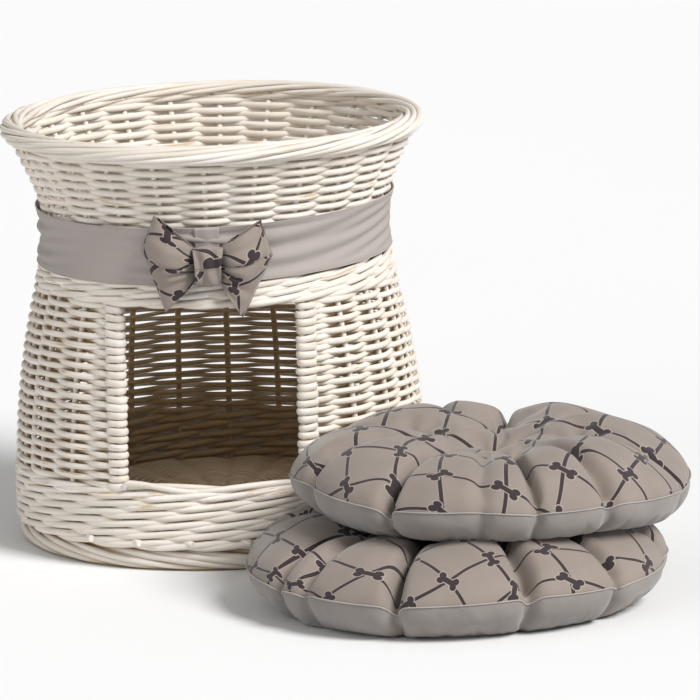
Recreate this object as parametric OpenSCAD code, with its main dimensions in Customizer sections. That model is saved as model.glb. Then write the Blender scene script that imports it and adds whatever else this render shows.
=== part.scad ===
// Two-tier wicker pet basket: a cave with a doorway below, an open bowl above,
// a cloth band with a bow round the waist and two loose tufted cushions.
// Millimetres, +Z up. The origin is on the floor under the middle of the basket,
// and the doorway looks along -Y.

/* [Basket outline] */
// Outer diameter over the rim border
rim_d = 460; // [420:5:560]
// Outer diameter of the lower wall where it is widest
base_d = 449; // [400:5:560]
// Outer diameter of the wall at the waist, under the band
waist_d = 374; // [330:2:390]
// Height of the whole basket
basket_h = 460; // [430:5:600]
// Height of the waist above the floor
waist_z = 335; // [320:1:350]
// Height where the lower wall is widest
belly_z = 60; // [50:1:70]
// Radius of the curve that turns the wall back out at the waist
waist_curve_r = 150; // [110:1:180]

/* [Weave] */
// Thickness of the woven wall
wall_t = 15; // [13:0.5:20]
// Number of upright stakes round the basket
stake_count = 24; // [24:24:24]
// Diameter of an upright stake
stake_d = 7; // [4:0.5:8]
// Gap between a rod and the weave around it
rod_gap = 0.3; // [0.1:0.05:0.5]

/* [Borders and wales] */
// Height of the rolled foot border
foot_h = 24; // [16:1:30]
// Width of the rolled foot border
foot_w = 24; // [20:1:30]
// Height of the thick first rows above the foot
base_wale_h = 20; // [10:1:26]
// Height of the lower wall, up to where its weavers are joined on
lower_wall_h = 121; // [80:1:150]
// Width of the rolled rim border
rim_w = 26; // [22:1:32]
// Height of the rolled rim border
rim_h = 22; // [16:1:24]
// How much the wale over the door is thicker than the wall, on the inside
wale_ledge = 6; // [4:0.5:10]

/* [Doorway] */
// Clear width of the doorway
door_w = 180; // [140:2:216]
// Height of the sill's top above the floor
door_z0 = 94; // [80:1:115]
// Height of the doorway's top above the floor
door_z1 = 281; // [234:1:290]
// Height of the twisted border along the sill
sill_h = 12; // [8:1:16]
// Thickness of the wrapping round the door posts
wrap_t = 4.2; // [3:0.1:5]

/* [Floors] */
// Thickness of a woven floor
floor_t = 12; // [10:0.5:16]
// Diameter of a floor stick
stick_d = 6; // [4:0.5:7]
// Radius of the tied cross in the middle of a floor
cross_r = 45; // [40:1:60]

/* [Band and bow] */
// Width of the cloth band
band_w = 60; // [46:1:64]
// Height of the band's lower edge
band_z0 = 308.5; // [300:0.5:312]
// Thickness of the doubled cloth
band_t = 1.5; // [1:0.1:2]
// Width of the bow
bow_w = 146; // [120:1:170]
// Height of the bow's outer edges
bow_h = 112; // [90:1:124]
// Height of the bow's middle above the floor
bow_z = 329; // [322:1:336]
// Thickness of a puffed bow loop
bow_t = 24; // [18:1:30]
// Width of the knot
knot_w = 26; // [20:1:32]

/* [Cushions] */
// Diameter of the lower cushion
lower_d = 436; // [360:2:524]
// Diameter of the upper cushion
upper_d = 412; // [340:2:460]
// Thickness of the lower cushion
lower_t = 88; // [70:1:106]
// Thickness of the upper cushion
upper_t = 88; // [70:1:106]
// Height of the seam above the underside of a cushion
seam_h = 43; // [36:1:52]
// Thickness of the cushion cloth
cloth_t = 1.2; // [0.8:0.1:1.6]
// Gap between the lower cushion and the basket
cushion_gap = 5; // [3:1:60]
// Direction of the lower cushion, turned from straight in front
cushion_turn = 35.4; // [20:0.2:60]
// How far the upper cushion is shifted sideways on the lower one
shift_x = 36; // [10:1:60]
// How far the upper cushion is shifted back on the lower one
shift_y = 34; // [10:1:40]
// Radius of the ring of tufts
tuft_r = 84; // [60:1:120]
// Number of tufts in the ring
tuft_count = 5; // [4:1:7]

/* [Hidden] */
$fn = 96;
rest_gap = 0.3;        // between the stacked cushions
thread_d = 2;          // tufting thread
wall_step = 10;        // height of one facet of a curved wall
stake_step = 360 / stake_count;

// Outline: a belly arc that turns in, a waist arc that turns back through upright
// and out, and a straight flare up to the rim.
base_r = base_d / 2;
waist_r = waist_d / 2;
wall_top = basket_h - rim_h;
wall_top_r = rim_d / 2 - 10.5;
lower_rise = waist_z - belly_z;
lower_turn = 2 * atan((base_r - waist_r) / lower_rise);
arcs_r = lower_rise / sin(lower_turn);
belly_arc = arcs_r - waist_curve_r;
join_z = belly_z + belly_arc * sin(lower_turn);
bowl_rise = wall_top - waist_z;
bowl_out = wall_top_r - waist_r;
flare_turn = asin(waist_curve_r / norm([bowl_rise, waist_curve_r - bowl_out]))
    - atan2(waist_curve_r - bowl_out, bowl_rise);
flare_z = waist_z + waist_curve_r * sin(flare_turn);
flare_x = waist_r + waist_curve_r * (1 - cos(flare_turn));

// Outer radius of the wall at a height
function out_r(z) =
    z < belly_z ? base_r
    : z < join_z ? base_r - belly_arc + sqrt(pow(belly_arc, 2) - pow(z - belly_z, 2))
    : z < flare_z ? waist_r + waist_curve_r - sqrt(pow(waist_curve_r, 2) - pow(waist_z - z, 2))
    : flare_x + (z - flare_z) * tan(flare_turn);
function mid_r(z) = out_r(z) - wall_t / 2;
function in_r(z) = out_r(z) - wall_t;

// Heights that follow from the sizes
base_wale_z1 = foot_h + base_wale_h;
lower_wall_z1 = base_wale_z1 + lower_wall_h;
sill_z0 = door_z0 - sill_h;
band_z1 = band_z0 + band_w;
tray_z0 = band_z0 - 0.5;
channel_d = stake_d + 2 * rod_gap;

// Doorway: two rods in each post, wrapped
rod_pitch = stake_d + 2 * rod_gap;
post_w = 2 * wrap_t + stake_d + rod_pitch + 2 * rod_gap;
post_x = door_w / 2 + wrap_t + rod_gap + stake_d / 2;

// Cushion places
lower_r = lower_d / 2;
upper_r = upper_d / 2;
lower_dist = base_r + lower_r + cushion_gap;
lower_pos = [lower_dist * sin(cushion_turn), -lower_dist * cos(cushion_turn), 0];
upper_pos = lower_pos + [shift_x, shift_y, lower_t + rest_gap];

// Colours
willow = [0.86, 0.83, 0.77];
willow_shade = [0.74, 0.68, 0.58];
grey_cotton = [0.64, 0.60, 0.58];
print_cotton = [0.70, 0.64, 0.59];
wadding = [0.93, 0.93, 0.91];

// ---------- helpers ----------

// A ring of woven wall between two heights, moved out by grow
module wall_ring(z0, z1, thick = wall_t, grow = 0, turn = 360) {
    n = max(1, ceil((z1 - z0) / wall_step));
    heights = [for (i = [0:n]) z0 + (z1 - z0) * i / n];
    outer = [for (z = heights) [out_r(z) + grow, z]];
    inner = [for (i = [n:-1:0]) [out_r(heights[i]) + grow - thick, heights[i]]];
    rotate_extrude(angle = turn) polygon(concat(outer, inner));
}

// One arc of a rod, in the plane of X and Z, about a centre
module rod_arc(centre_x, centre_z, radius, from, turn, d) {
    translate([centre_x, 0, centre_z]) rotate([90, 0, 0]) rotate([0, 0, from])
        rotate_extrude(angle = turn) translate([radius, 0]) circle(d = d);
}

// The parts of one meridian rod that lie between two heights; lead starts the flare lower
module meridian_rod(d, z0, z1, lead = 0) {
    half = wall_t / 2;
    if (z0 < belly_z)
        translate([base_r - half, 0, z0]) cylinder(d = d, h = min(z1, belly_z) - z0);
    if (z0 < join_z && z1 > belly_z)
        rod_arc(base_r - belly_arc, belly_z, belly_arc - half, 0, lower_turn, d);
    if (z0 < flare_z && z1 > join_z)
        rod_arc(waist_r + waist_curve_r, waist_z, waist_curve_r + half,
            180 - flare_turn, lower_turn + flare_turn, d);
    if (z1 > flare_z)
        translate([waist_r + waist_curve_r - (waist_curve_r + half) * cos(flare_turn), 0,
            waist_z + (waist_curve_r + half) * sin(flare_turn)])
            rotate([0, flare_turn, 0]) translate([0, 0, -lead])
                cylinder(d = d, h = lead + (z1 - flare_z) / cos(flare_turn) + half);
}

// A horizontal slab that keeps what lies between two heights
module slab(z0, z1) {
    reach = rim_d + base_d;
    translate([-reach / 2, -reach / 2, z0]) cube([reach, reach, z1 - z0]);
}

// Rods at the given stake numbers; stake 0 is straight in front
module stakes(numbers, d, z0, z1, lead = 0) {
    for (i = numbers) rotate([0, 0, -90 + i * stake_step]) meridian_rod(d, z0, z1, lead);
}

// The middle line of a stake: its distance from the axis at a height
stake_join_z = belly_z + (belly_arc - wall_t / 2) * sin(lower_turn);
stake_flare_z = waist_z + (waist_curve_r + wall_t / 2) * sin(flare_turn);
function arc_x(z) =
    waist_r + waist_curve_r - sqrt(pow(waist_curve_r + wall_t / 2, 2) - pow(z - waist_z, 2));
function stake_x(z) =
    z < belly_z ? base_r - wall_t / 2
    : z < stake_join_z ? base_r - belly_arc + sqrt(pow(belly_arc - wall_t / 2, 2) - pow(z - belly_z, 2))
    : z < stake_flare_z ? arc_x(z)
    : arc_x(stake_flare_z) + (z - stake_flare_z) * tan(flare_turn);

// Heights of the rings that a stake is swept through
belly_rings = 6;
waist_rings = 7;
bend_heights = concat(
    [for (i = [0:belly_rings]) belly_z + (stake_join_z - belly_z) * i / belly_rings],
    [for (i = [1:waist_rings]) stake_join_z + (stake_flare_z - stake_join_z) * i / waist_rings]);
function stake_heights(z0, z1) =
    concat([z0], [for (z = bend_heights) if (z > z0 + 1 && z < z1 - 1) z], [z1]);

// Whole stakes, each one solid rod swept along the middle line
rod_sides = 8;
module stake_rods(numbers, z0, z1) {
    heights = stake_heights(z0, z1);
    last = len(heights) - 1;
    points = [for (z = heights, k = [0:rod_sides - 1])
        [stake_x(z) + stake_d / 2 * cos(k * 360 / rod_sides), stake_d / 2 * sin(k * 360 / rod_sides), z]];
    sides = [for (i = [0:last - 1], k = [0:rod_sides - 1]) let (n = (k + 1) % rod_sides)
        [i * rod_sides + k, (i + 1) * rod_sides + k, (i + 1) * rod_sides + n, i * rod_sides + n]];
    ends = [[for (k = [0:rod_sides - 1]) k],
        [for (k = [rod_sides - 1:-1:0]) last * rod_sides + k]];
    for (i = numbers) rotate([0, 0, -90 + i * stake_step]) polyhedron(points, concat(sides, ends));
}

// One rod of a door post: upright in the plane x = place, following the wall
module post_rod(place, d, z0, z1) {
    y0 = sqrt(pow(mid_r(belly_z), 2) - pow(place, 2));
    y1 = sqrt(pow(mid_r(door_z1), 2) - pow(place, 2));
    rise = door_z1 - belly_z;
    arc = (pow(rise, 2) + pow(y0 - y1, 2)) / (2 * (y0 - y1));
    translate([place, 0, 0]) rotate([0, 0, -90]) {
        if (z0 < belly_z) translate([y0, 0, z0]) cylinder(d = d, h = belly_z - z0);
        if (z1 > belly_z) rod_arc(y0 - arc, belly_z, arc, 0, asin(rise / arc), d);
    }
}

// Both rods of the post on one side, -1 left or 1 right
module post_rods(side, d, z0, z1) {
    post_rod(side * post_x, d, z0, z1);
    post_rod(side * (post_x + rod_pitch), d, z0, z1);
}

all_stakes = [for (i = [0:stake_count - 1]) i];
door_stakes = [-1, 0, 1];
post_numbers = [-2, 2];
full_stakes = [for (i = [3:stake_count - 3]) i];

// A flat bar of rounded section, for borders: outer radius, width, height, height above floor
module border_section(outer, width, height, z0) {
    r = min(width, height) / 2 - 0.01;
    hull_x = outer - width;
    translate([hull_x + r, z0 + height / 2]) circle(r = r);
    translate([outer - r, z0 + height / 2]) circle(r = r);
    translate([hull_x + r, z0 + height / 2 - r]) square([width - 2 * r, 2 * r]);
}

// A section with flat faces and four rounded corners
module rounded_section(outer, width, height, z0, r) {
    for (x = [outer - width + r, outer - r], z = [z0 + r, z0 + height - r])
        translate([x, z]) circle(r = r);
    translate([outer - width + r, z0]) square([width - 2 * r, height]);
    translate([outer - width, z0 + r]) square([width, height - 2 * r]);
}

// The spokes of a floor, at mid height
module spokes(d, r0, r1, z) {
    for (i = all_stakes)
        rotate([0, 0, (i + 0.5) * stake_step]) translate([r0, 0, z])
            rotate([0, 90, 0]) cylinder(d = d, h = r1 - r0);
}

// The tied cross with its spread sticks
module floor_sticks(z0, radius) {
    cross_h = stick_d + 2;
    translate([0, 0, z0 + (floor_t - cross_h) / 2]) cylinder(r = cross_r, h = cross_h);
    spokes(stick_d, cross_r - 5, radius - 4, z0 + floor_t / 2);
}

// The woven disc round the cross, with a channel for every stick
module floor_weave(z0, radius) {
    difference() {
        translate([0, 0, z0]) cylinder(r = radius, h = floor_t, $fn = 180);
        translate([0, 0, z0 - 1]) cylinder(r = cross_r + rod_gap, h = floor_t + 2);
        spokes(stick_d + 2 * rod_gap, cross_r - 1, radius - 4 + rod_gap, z0 + floor_t / 2);
    }
}

// ---------- basket ----------

module foot_border() {
    color(willow) rotate_extrude($fn = 180)
        rounded_section(base_r - 2.5, foot_w, foot_h, 0, 7);
}

base_floor_r = in_r(foot_h) - rod_gap;

module base_sticks() { color(willow_shade) floor_sticks(foot_h, base_floor_r); }
module base_weave() { color(willow_shade) floor_weave(foot_h, base_floor_r); }

module base_wale() {
    color(willow) difference() {
        wall_ring(foot_h, base_wale_z1);
        stakes(concat(full_stakes, door_stakes), channel_d, foot_h - 1, belly_z);
        for (side = [-1, 1]) post_rods(side, channel_d, foot_h - 1, belly_z);
    }
}

// A ring of the cave's wall with its channels and the doorway cut through
module cave_ring(z0, z1) {
    color(willow) difference() {
        wall_ring(z0, z1);
        stakes(concat(full_stakes, door_stakes), channel_d, z0 - 1, z1);
        for (side = [-1, 1]) post_rods(side, channel_d, z0 - 1, z1);
        translate([-door_w / 2 - post_w, -base_d, sill_z0])
            cube([door_w + 2 * post_w, base_d, door_z1 - sill_z0 + 1]);
    }
}
module lower_wall() { cave_ring(base_wale_z1, lower_wall_z1); }
module upper_wall() { cave_ring(lower_wall_z1, door_z1); }

module side_stakes() { color(willow) stake_rods(full_stakes, foot_h, wall_top); }
module sill_stakes() { color(willow) stake_rods(door_stakes, foot_h, sill_z0); }
module bowl_front_stakes() {
    color(willow) stake_rods(concat(post_numbers, door_stakes), door_z1, wall_top);
}

module door_post(side) {
    color(willow) intersection() {
        post_rods(side, stake_d, foot_h, door_z1);
        slab(foot_h, door_z1);
    }
}
module door_post_left() { door_post(-1); }
module door_post_right() { door_post(1); }

module door_wrap(side) {
    x0 = side > 0 ? door_w / 2 : -door_w / 2 - post_w + rod_gap;
    color(willow) difference() {
        intersection() {
            wall_ring(sill_z0, door_z1);
            translate([x0, -base_d, sill_z0])
                cube([post_w - rod_gap, base_d, door_z1 - sill_z0]);
        }
        post_rods(side, channel_d, foot_h, door_z1);
    }
}
module door_wrap_left() { door_wrap(-1); }
module door_wrap_right() { door_wrap(1); }

module sill_border() {
    color(willow) intersection() {
        rotate_extrude() border_section(out_r(sill_z0) + 1, wall_t + 2, sill_h, sill_z0);
        translate([-door_w / 2 + rod_gap, -base_d, sill_z0])
            cube([door_w - 2 * rod_gap, base_d, sill_h]);
    }
}

module lintel_wale() {
    color(willow) difference() {
        wall_ring(door_z1, tray_z0, wall_t + wale_ledge);
        stakes(all_stakes, channel_d, door_z1, tray_z0);
    }
}

tray_r = in_r(min(waist_z, tray_z0 + floor_t)) - rod_gap;

module tray_sticks() { color(willow_shade) floor_sticks(tray_z0, tray_r); }
module tray_weave() { color(willow_shade) floor_weave(tray_z0, tray_r); }

module waist_wall() {
    color(willow) difference() {
        wall_ring(tray_z0, flare_z);
        stakes(all_stakes, channel_d, tray_z0, flare_z);
    }
}

module bowl_wall() {
    color(willow) difference() {
        wall_ring(flare_z, wall_top);
        stakes(all_stakes, channel_d, flare_z, wall_top + 1, wall_t / 2);
    }
}

module rim_border() {
    color(willow) rotate_extrude($fn = 180) border_section(rim_d / 2, rim_w, rim_h, wall_top);
}

// ---------- band and bow ----------

module waist_band() {
    color(grey_cotton) wall_ring(tray_z0, band_z1, band_t, band_t + rod_gap);
}

strap_turn = 8;
module bow_strap() {
    grow = 2 * band_t + 2 * rod_gap;
    color(grey_cotton) rotate([0, 0, -90 - strap_turn / 2])
        wall_ring(tray_z0, band_z1, band_t, grow, strap_turn);
}

// Radius of the band's or the wall's face at a height, and just outside the strap
function face_r(z) = out_r(z) + 2 * band_t + 3 * rod_gap;

// A ball of the bow, resting on the face behind it
module bow_ball(x, z, r) {
    dist = max(face_r(z - r), face_r(z), face_r(z + r)) + r;
    turn = asin(x / dist);
    rotate([0, 0, turn]) translate([0, -dist, z]) sphere(r = r, $fn = 28);
}

module bow_loop(side) {
    r = bow_t / 2;
    reach = bow_w / 2 - r;
    root = knot_w / 2 + 1 + 8;
    color(print_cotton) hull() {
        bow_ball(side * root, bow_z + 10, 8);
        bow_ball(side * root, bow_z - 10, 8);
        bow_ball(side * reach * 0.9, bow_z + bow_h / 2 - r, r);
        bow_ball(side * reach, bow_z, r);
        bow_ball(side * reach * 0.86, bow_z - bow_h / 2 + r, r);
    }
}
module bow_loop_left() { bow_loop(-1); }
module bow_loop_right() { bow_loop(1); }

module bow_knot() {
    r = 9;
    color(print_cotton) hull()
        for (x = [-1, 1], z = [-1, 1])
            bow_ball(x * (knot_w / 2 - r), bow_z + z * 12, r);
}

// ---------- cushions ----------

// Height of the crowned top panel over the seam, for a share of the radius
function crown(share) = pow(1 - pow(share, 5), 0.6);

// The top panel's section from the middle to the seam
function crown_pts(radius, rise, n = 16) =
    [for (i = [0:n]) let (s = sin(90 * i / n)) [radius * s, rise * crown(s)]];

side_round = 16; // rounding between the gusset and the underside

module top_panel(radius, thick) {
    rise = thick - seam_h;
    inner = crown_pts(radius - cloth_t, rise - cloth_t);
    n = len(inner) - 1;
    translate([0, 0, seam_h]) rotate_extrude($fn = 128)
        polygon(concat(crown_pts(radius, rise), [for (i = [n:-1:0]) inner[i]]));
}

module gusset(radius) {
    translate([0, 0, side_round]) difference() {
        cylinder(r = radius, h = seam_h - side_round, $fn = 128);
        translate([0, 0, -1]) cylinder(r = radius - cloth_t, h = seam_h, $fn = 128);
    }
}

// Section of the underside: a flat disc with a quarter round up to the gusset
module under_section(radius, r) {
    intersection() {
        union() {
            square([radius - side_round, r]);
            translate([radius - side_round, r]) circle(r = r);
        }
        square([radius, r]);
    }
}

module bottom_panel(radius) {
    rotate_extrude($fn = 128) difference() {
        under_section(radius, side_round);
        translate([0, cloth_t]) under_section(radius - cloth_t, side_round - cloth_t);
    }
}

// Middle points of the tufts
tufts = concat([[0, 0]], [for (i = [0:tuft_count - 1])
    tuft_r * [cos(i * 360 / tuft_count - 90), sin(i * 360 / tuft_count - 90)]]);

module threads(radius, thick, d) {
    for (p = tufts) {
        top = seam_h + (thick - seam_h - cloth_t) * crown(norm(p) / radius) - 1.5;
        translate([p[0], p[1], cloth_t + 1]) cylinder(d = d, h = top - cloth_t - 1);
    }
}

module filling(radius, thick) {
    rise = thick - seam_h;
    color(wadding) difference() {
        union() {
            translate([0, 0, seam_h]) rotate_extrude($fn = 128)
                polygon(concat(crown_pts(radius - cloth_t, rise - cloth_t), [[0, 0]]));
            translate([0, 0, side_round])
                cylinder(r = radius - cloth_t, h = seam_h - side_round, $fn = 128);
            translate([0, 0, cloth_t]) rotate_extrude($fn = 128)
                under_section(radius - cloth_t, side_round - cloth_t);
        }
        threads(radius, thick, thread_d + 2 * rod_gap);
    }
}

module lower_top_panel() { color(print_cotton) translate(lower_pos) top_panel(lower_r, lower_t); }
module lower_gusset() { color(grey_cotton) translate(lower_pos) gusset(lower_r); }
module lower_bottom_panel() { color(grey_cotton) translate(lower_pos) bottom_panel(lower_r); }
module lower_filling() { translate(lower_pos) filling(lower_r, lower_t); }
module lower_tufts() { color(wadding) translate(lower_pos) threads(lower_r, lower_t, thread_d); }

module upper_top_panel() { color(print_cotton) translate(upper_pos) top_panel(upper_r, upper_t); }
module upper_gusset() { color(grey_cotton) translate(upper_pos) gusset(upper_r); }
module upper_bottom_panel() { color(grey_cotton) translate(upper_pos) bottom_panel(upper_r); }
module upper_filling() { translate(upper_pos) filling(upper_r, upper_t); }
module upper_tufts() { color(wadding) translate(upper_pos) threads(upper_r, upper_t, thread_d); }

foot_border();
base_sticks();
base_weave();
base_wale();
lower_wall();
upper_wall();
side_stakes();
sill_stakes();
bowl_front_stakes();
door_post_left();
door_post_right();
door_wrap_left();
door_wrap_right();
sill_border();
lintel_wale();
tray_sticks();
tray_weave();
waist_wall();
bowl_wall();
rim_border();
waist_band();
bow_strap();
bow_loop_left();
bow_loop_right();
bow_knot();
lower_top_panel();
lower_gusset();
lower_bottom_panel();
lower_filling();
lower_tufts();
upper_top_panel();
upper_gusset();
upper_bottom_panel();
upper_filling();
upper_tufts();
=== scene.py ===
"""Looks of a two-tier wicker pet basket with its band, bow and two cushions.

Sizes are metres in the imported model's frame: +Z up, the doorway looks along -Y.
Angles round the basket start straight in front and grow towards +X.
"""

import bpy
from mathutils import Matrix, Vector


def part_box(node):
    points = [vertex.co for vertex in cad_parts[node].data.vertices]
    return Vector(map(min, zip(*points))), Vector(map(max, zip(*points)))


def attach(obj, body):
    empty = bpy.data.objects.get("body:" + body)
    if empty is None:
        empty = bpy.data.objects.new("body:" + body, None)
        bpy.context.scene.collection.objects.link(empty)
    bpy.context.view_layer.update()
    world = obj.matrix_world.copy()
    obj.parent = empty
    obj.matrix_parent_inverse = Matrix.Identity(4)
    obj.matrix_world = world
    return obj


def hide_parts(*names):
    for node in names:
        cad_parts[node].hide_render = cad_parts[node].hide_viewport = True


bl_info = {
    "name": "Wicker Pet Basket",
    "version": (1, 0, 0),
    "blender": (4, 5, 0),
    "location": "View3D > Sidebar > Basket",
    "description": "Weaves the basket and sews its band, bow and cushions",
    "category": "Add Mesh",
}

import bpy
import numpy as np
from mathutils import Matrix

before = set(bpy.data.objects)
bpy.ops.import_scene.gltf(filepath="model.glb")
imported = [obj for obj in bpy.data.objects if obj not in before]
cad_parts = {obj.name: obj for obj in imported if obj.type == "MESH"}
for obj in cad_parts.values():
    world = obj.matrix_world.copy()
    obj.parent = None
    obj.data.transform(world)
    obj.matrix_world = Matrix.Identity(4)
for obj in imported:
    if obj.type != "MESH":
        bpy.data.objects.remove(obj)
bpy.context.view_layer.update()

MM = 0.001
TURN = 2 * np.pi


def low(node):
    """Lowest corner of a node."""
    return np.array([float(v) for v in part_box(node)[0]])


def high(node):
    """Highest corner of a node."""
    return np.array([float(v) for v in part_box(node)[1]])


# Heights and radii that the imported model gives
FOOT_TOP = high("foot_border")[2]
FOOT_R = high("foot_border")[0]
BASE_R = high("lower_wall")[0]
SILL_Z = high("sill_border")[2]
SILL_LOW = low("sill_border")[2]
DOOR_TOP = low("lintel_wale")[2]
TRAY_Z = high("lintel_wale")[2]
WALL_TOP = high("bowl_wall")[2]
RIM_R = high("rim_border")[0]
RIM_TOP = high("rim_border")[2]
BAND_TOP = high("waist_band")[2]
DOOR_HALF = high("sill_border")[0] + 0.3 * MM
POST_X = (low("door_post_right")[0] + high("door_post_right")[0]) / 2
POST_HALF = (high("door_wrap_right")[0] - low("door_wrap_right")[0]) / 2
LOWER_C = (low("lower_gusset") + high("lower_gusset")) / 2
UPPER_C = (low("upper_gusset") + high("upper_gusset")) / 2
LOWER_R = (high("lower_gusset")[0] - low("lower_gusset")[0]) / 2
UPPER_R = (high("upper_gusset")[0] - low("upper_gusset")[0]) / 2
LOWER_Z = low("lower_bottom_panel")[2]
UPPER_Z = low("upper_bottom_panel")[2]
SEAM_RISE = high("lower_gusset")[2] - LOWER_Z
CUSHION_T = high("lower_top_panel")[2] - LOWER_Z
BOW_Z = (low("bow_knot")[2] + high("bow_knot")[2]) / 2

# The wall's outline, as the solid walls have it
WALL_T = 15 * MM
WAIST_R = 187 * MM
WAIST_Z = 335 * MM
BELLY_Z = 60 * MM
WAIST_CURVE = 150 * MM
WALL_TOP_R = RIM_R - 10.5 * MM

ROD_SIDES = 8
BORDER_RODS = 24
FLOOR_EYE_R = 36 * MM
BAND_R = 190 * MM
BOW_R = 196 * MM
TUFT_R = 84 * MM
SIDE_ROWS = 11
CAMERA = {"place": (0.373, -8.0, 1.7684), "lens": 385.3543, "film": 36.0,
          "pitch": 11.128, "yaw": -1.646, "roll": 1.624}


# ---------- sizes and colours that a user may change ----------

def length(name, text, value, least=0.0):
    """A length with its default in metres."""
    return bpy.props.FloatProperty(name=name, description=text, default=value, min=least,
                                   unit="LENGTH", subtype="DISTANCE", precision=4)


def colour(name, text, value):
    """A colour with its default in linear light."""
    return bpy.props.FloatVectorProperty(name=name, description=text, default=value,
                                         subtype="COLOR", size=3, min=0.0, max=1.0)


class BasketWeave(bpy.types.PropertyGroup):
    """Sizes of the rods and of the rows that they are woven in."""
    stake_count: bpy.props.IntProperty(
        name="Stakes", description="Upright stakes round the basket", default=24, min=24, max=24)
    stake_d: length("Stake", "Diameter of an upright stake", 7 * MM, 3 * MM)
    weaver_d: length("Weaver", "Diameter of a single weaver", 5.9 * MM, 2 * MM)
    row_pitch: length("Row", "Height of one single row", 5.1 * MM, 3 * MM)
    wale_d: length("Wale rod", "Diameter of a rod in the thick rows", 6.7 * MM, 3 * MM)
    rim_d: length("Rim rod", "Diameter of a rod's butt in the rim", 7.6 * MM, 3 * MM)
    foot_d: length("Foot rod", "Diameter of a rod's butt in the foot", 8.0 * MM, 3 * MM)
    floor_d: length("Floor weaver", "Diameter of a weaver in the floors", 5.0 * MM, 2 * MM)
    wrap_pitch: length("Wrap", "Height of one turn round a door post", 8.3 * MM, 4 * MM)
    press: bpy.props.FloatProperty(
        name="Press", description="How much taller than thick a weaver is, packed in its row",
        default=1.22, min=1.0, max=1.5)


class BasketCloth(bpy.types.PropertyGroup):
    """Sizes of the sewn cloth."""
    cloth_t: length("Cloth", "Thickness of the cotton", 1.2 * MM, 0.3 * MM)
    band_tilt: length("Band tilt", "How much the band hangs lower at one side", 4 * MM)
    puff: length("Puff", "How far the wadding may push a cushion's cloth", 11 * MM)
    seam_d: length("Seam", "Diameter of the seam's raised edge", 1.5 * MM, 0.3 * MM)


class BasketColours(bpy.types.PropertyGroup):
    """Colours in linear light."""
    whitewash: colour("Whitewash", "Limewash on the willow", (0.83, 0.79, 0.745))
    # bare willow also stands for painted shade inside the cave
    bare: colour("Bare willow", "Willow where the wash is thin", (0.52, 0.375, 0.20))
    grey: colour("Grey cotton", "Band, strap, seams and cushion sides", (0.355, 0.318, 0.292))
    beige: colour("Beige cotton", "Ground of the print", (0.262, 0.220, 0.190))
    ink: colour("Ink", "Bones and lines of the print", (0.032, 0.021, 0.024))


# ---------- numbers as arrays ----------

def noise_line(rng, count, points, turns=(1, 2, 3, 5)):
    """Smooth random lines from -1 to 1: for each one, a sum of waves that fit the whole
    length, each with a random phase and a height that falls with its number of turns."""
    along = np.linspace(0, TURN, points)
    total = np.zeros((count, points))
    for k in turns:
        phase = rng.uniform(0, TURN, (count, 1))
        total += np.sin(k * along + phase) * rng.uniform(0.4, 1.0, (count, 1)) / k ** 0.5
    return total / 2.2


def smooth(x, a, b):
    """0 below a, 1 above b, and a smooth rise between them."""
    t = np.clip((x - a) / (b - a), 0, 1)
    return t * t * (3 - 2 * t)


def bell(x, wide):
    """1 at nought, and falling off smoothly both ways."""
    return np.exp(-(x / wide) ** 2)


def squared(wave, power):
    """A sine or cosine made squarer: its size to a power under 1, with its sign kept."""
    return np.sign(wave) * np.abs(wave) ** power


def wall_out(z):
    """Outer radius of the wall at a height: straight, then a belly arc that turns in, then
    the waist arc that turns out again, then a straight flare up to the rim."""
    rise = WAIST_Z - BELLY_Z
    turn = 2 * np.arctan((BASE_R - WAIST_R) / rise)
    belly = rise / np.sin(turn) - WAIST_CURVE
    join = BELLY_Z + belly * np.sin(turn)
    up, out = WALL_TOP - WAIST_Z, WALL_TOP_R - WAIST_R
    flare = (np.arcsin(WAIST_CURVE / np.hypot(up, WAIST_CURVE - out))
             - np.arctan2(WAIST_CURVE - out, up))
    flare_z = WAIST_Z + WAIST_CURVE * np.sin(flare)
    z = np.asarray(z, float)
    low_arc = BASE_R - belly + np.sqrt(np.maximum(belly ** 2 - (z - BELLY_Z) ** 2, 0))
    high_arc = WAIST_R + WAIST_CURVE - np.sqrt(np.maximum(WAIST_CURVE ** 2 - (z - WAIST_Z) ** 2, 0))
    line = WAIST_R + WAIST_CURVE * (1 - np.cos(flare)) + (z - flare_z) * np.tan(flare)
    return np.select([z < BELLY_Z, z < join, z < flare_z], [BASE_R, low_arc, high_arc], line)


def wall_mid(z):
    """Radius of the middle of the wall, where the stakes stand."""
    return wall_out(z) - WALL_T / 2


def polar(radius, angle, z):
    """Points at a distance from the axis, an angle from straight in front, and a height."""
    radius, angle, z = np.broadcast_arrays(radius, angle, z)
    return np.stack([radius * np.sin(angle), -radius * np.cos(angle), z], -1)


def radial(points):
    """Unit vectors away from the axis."""
    flat = points * (1, 1, 0)
    return flat / np.maximum(np.linalg.norm(flat, axis=-1, keepdims=True), 1e-9)


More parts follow.
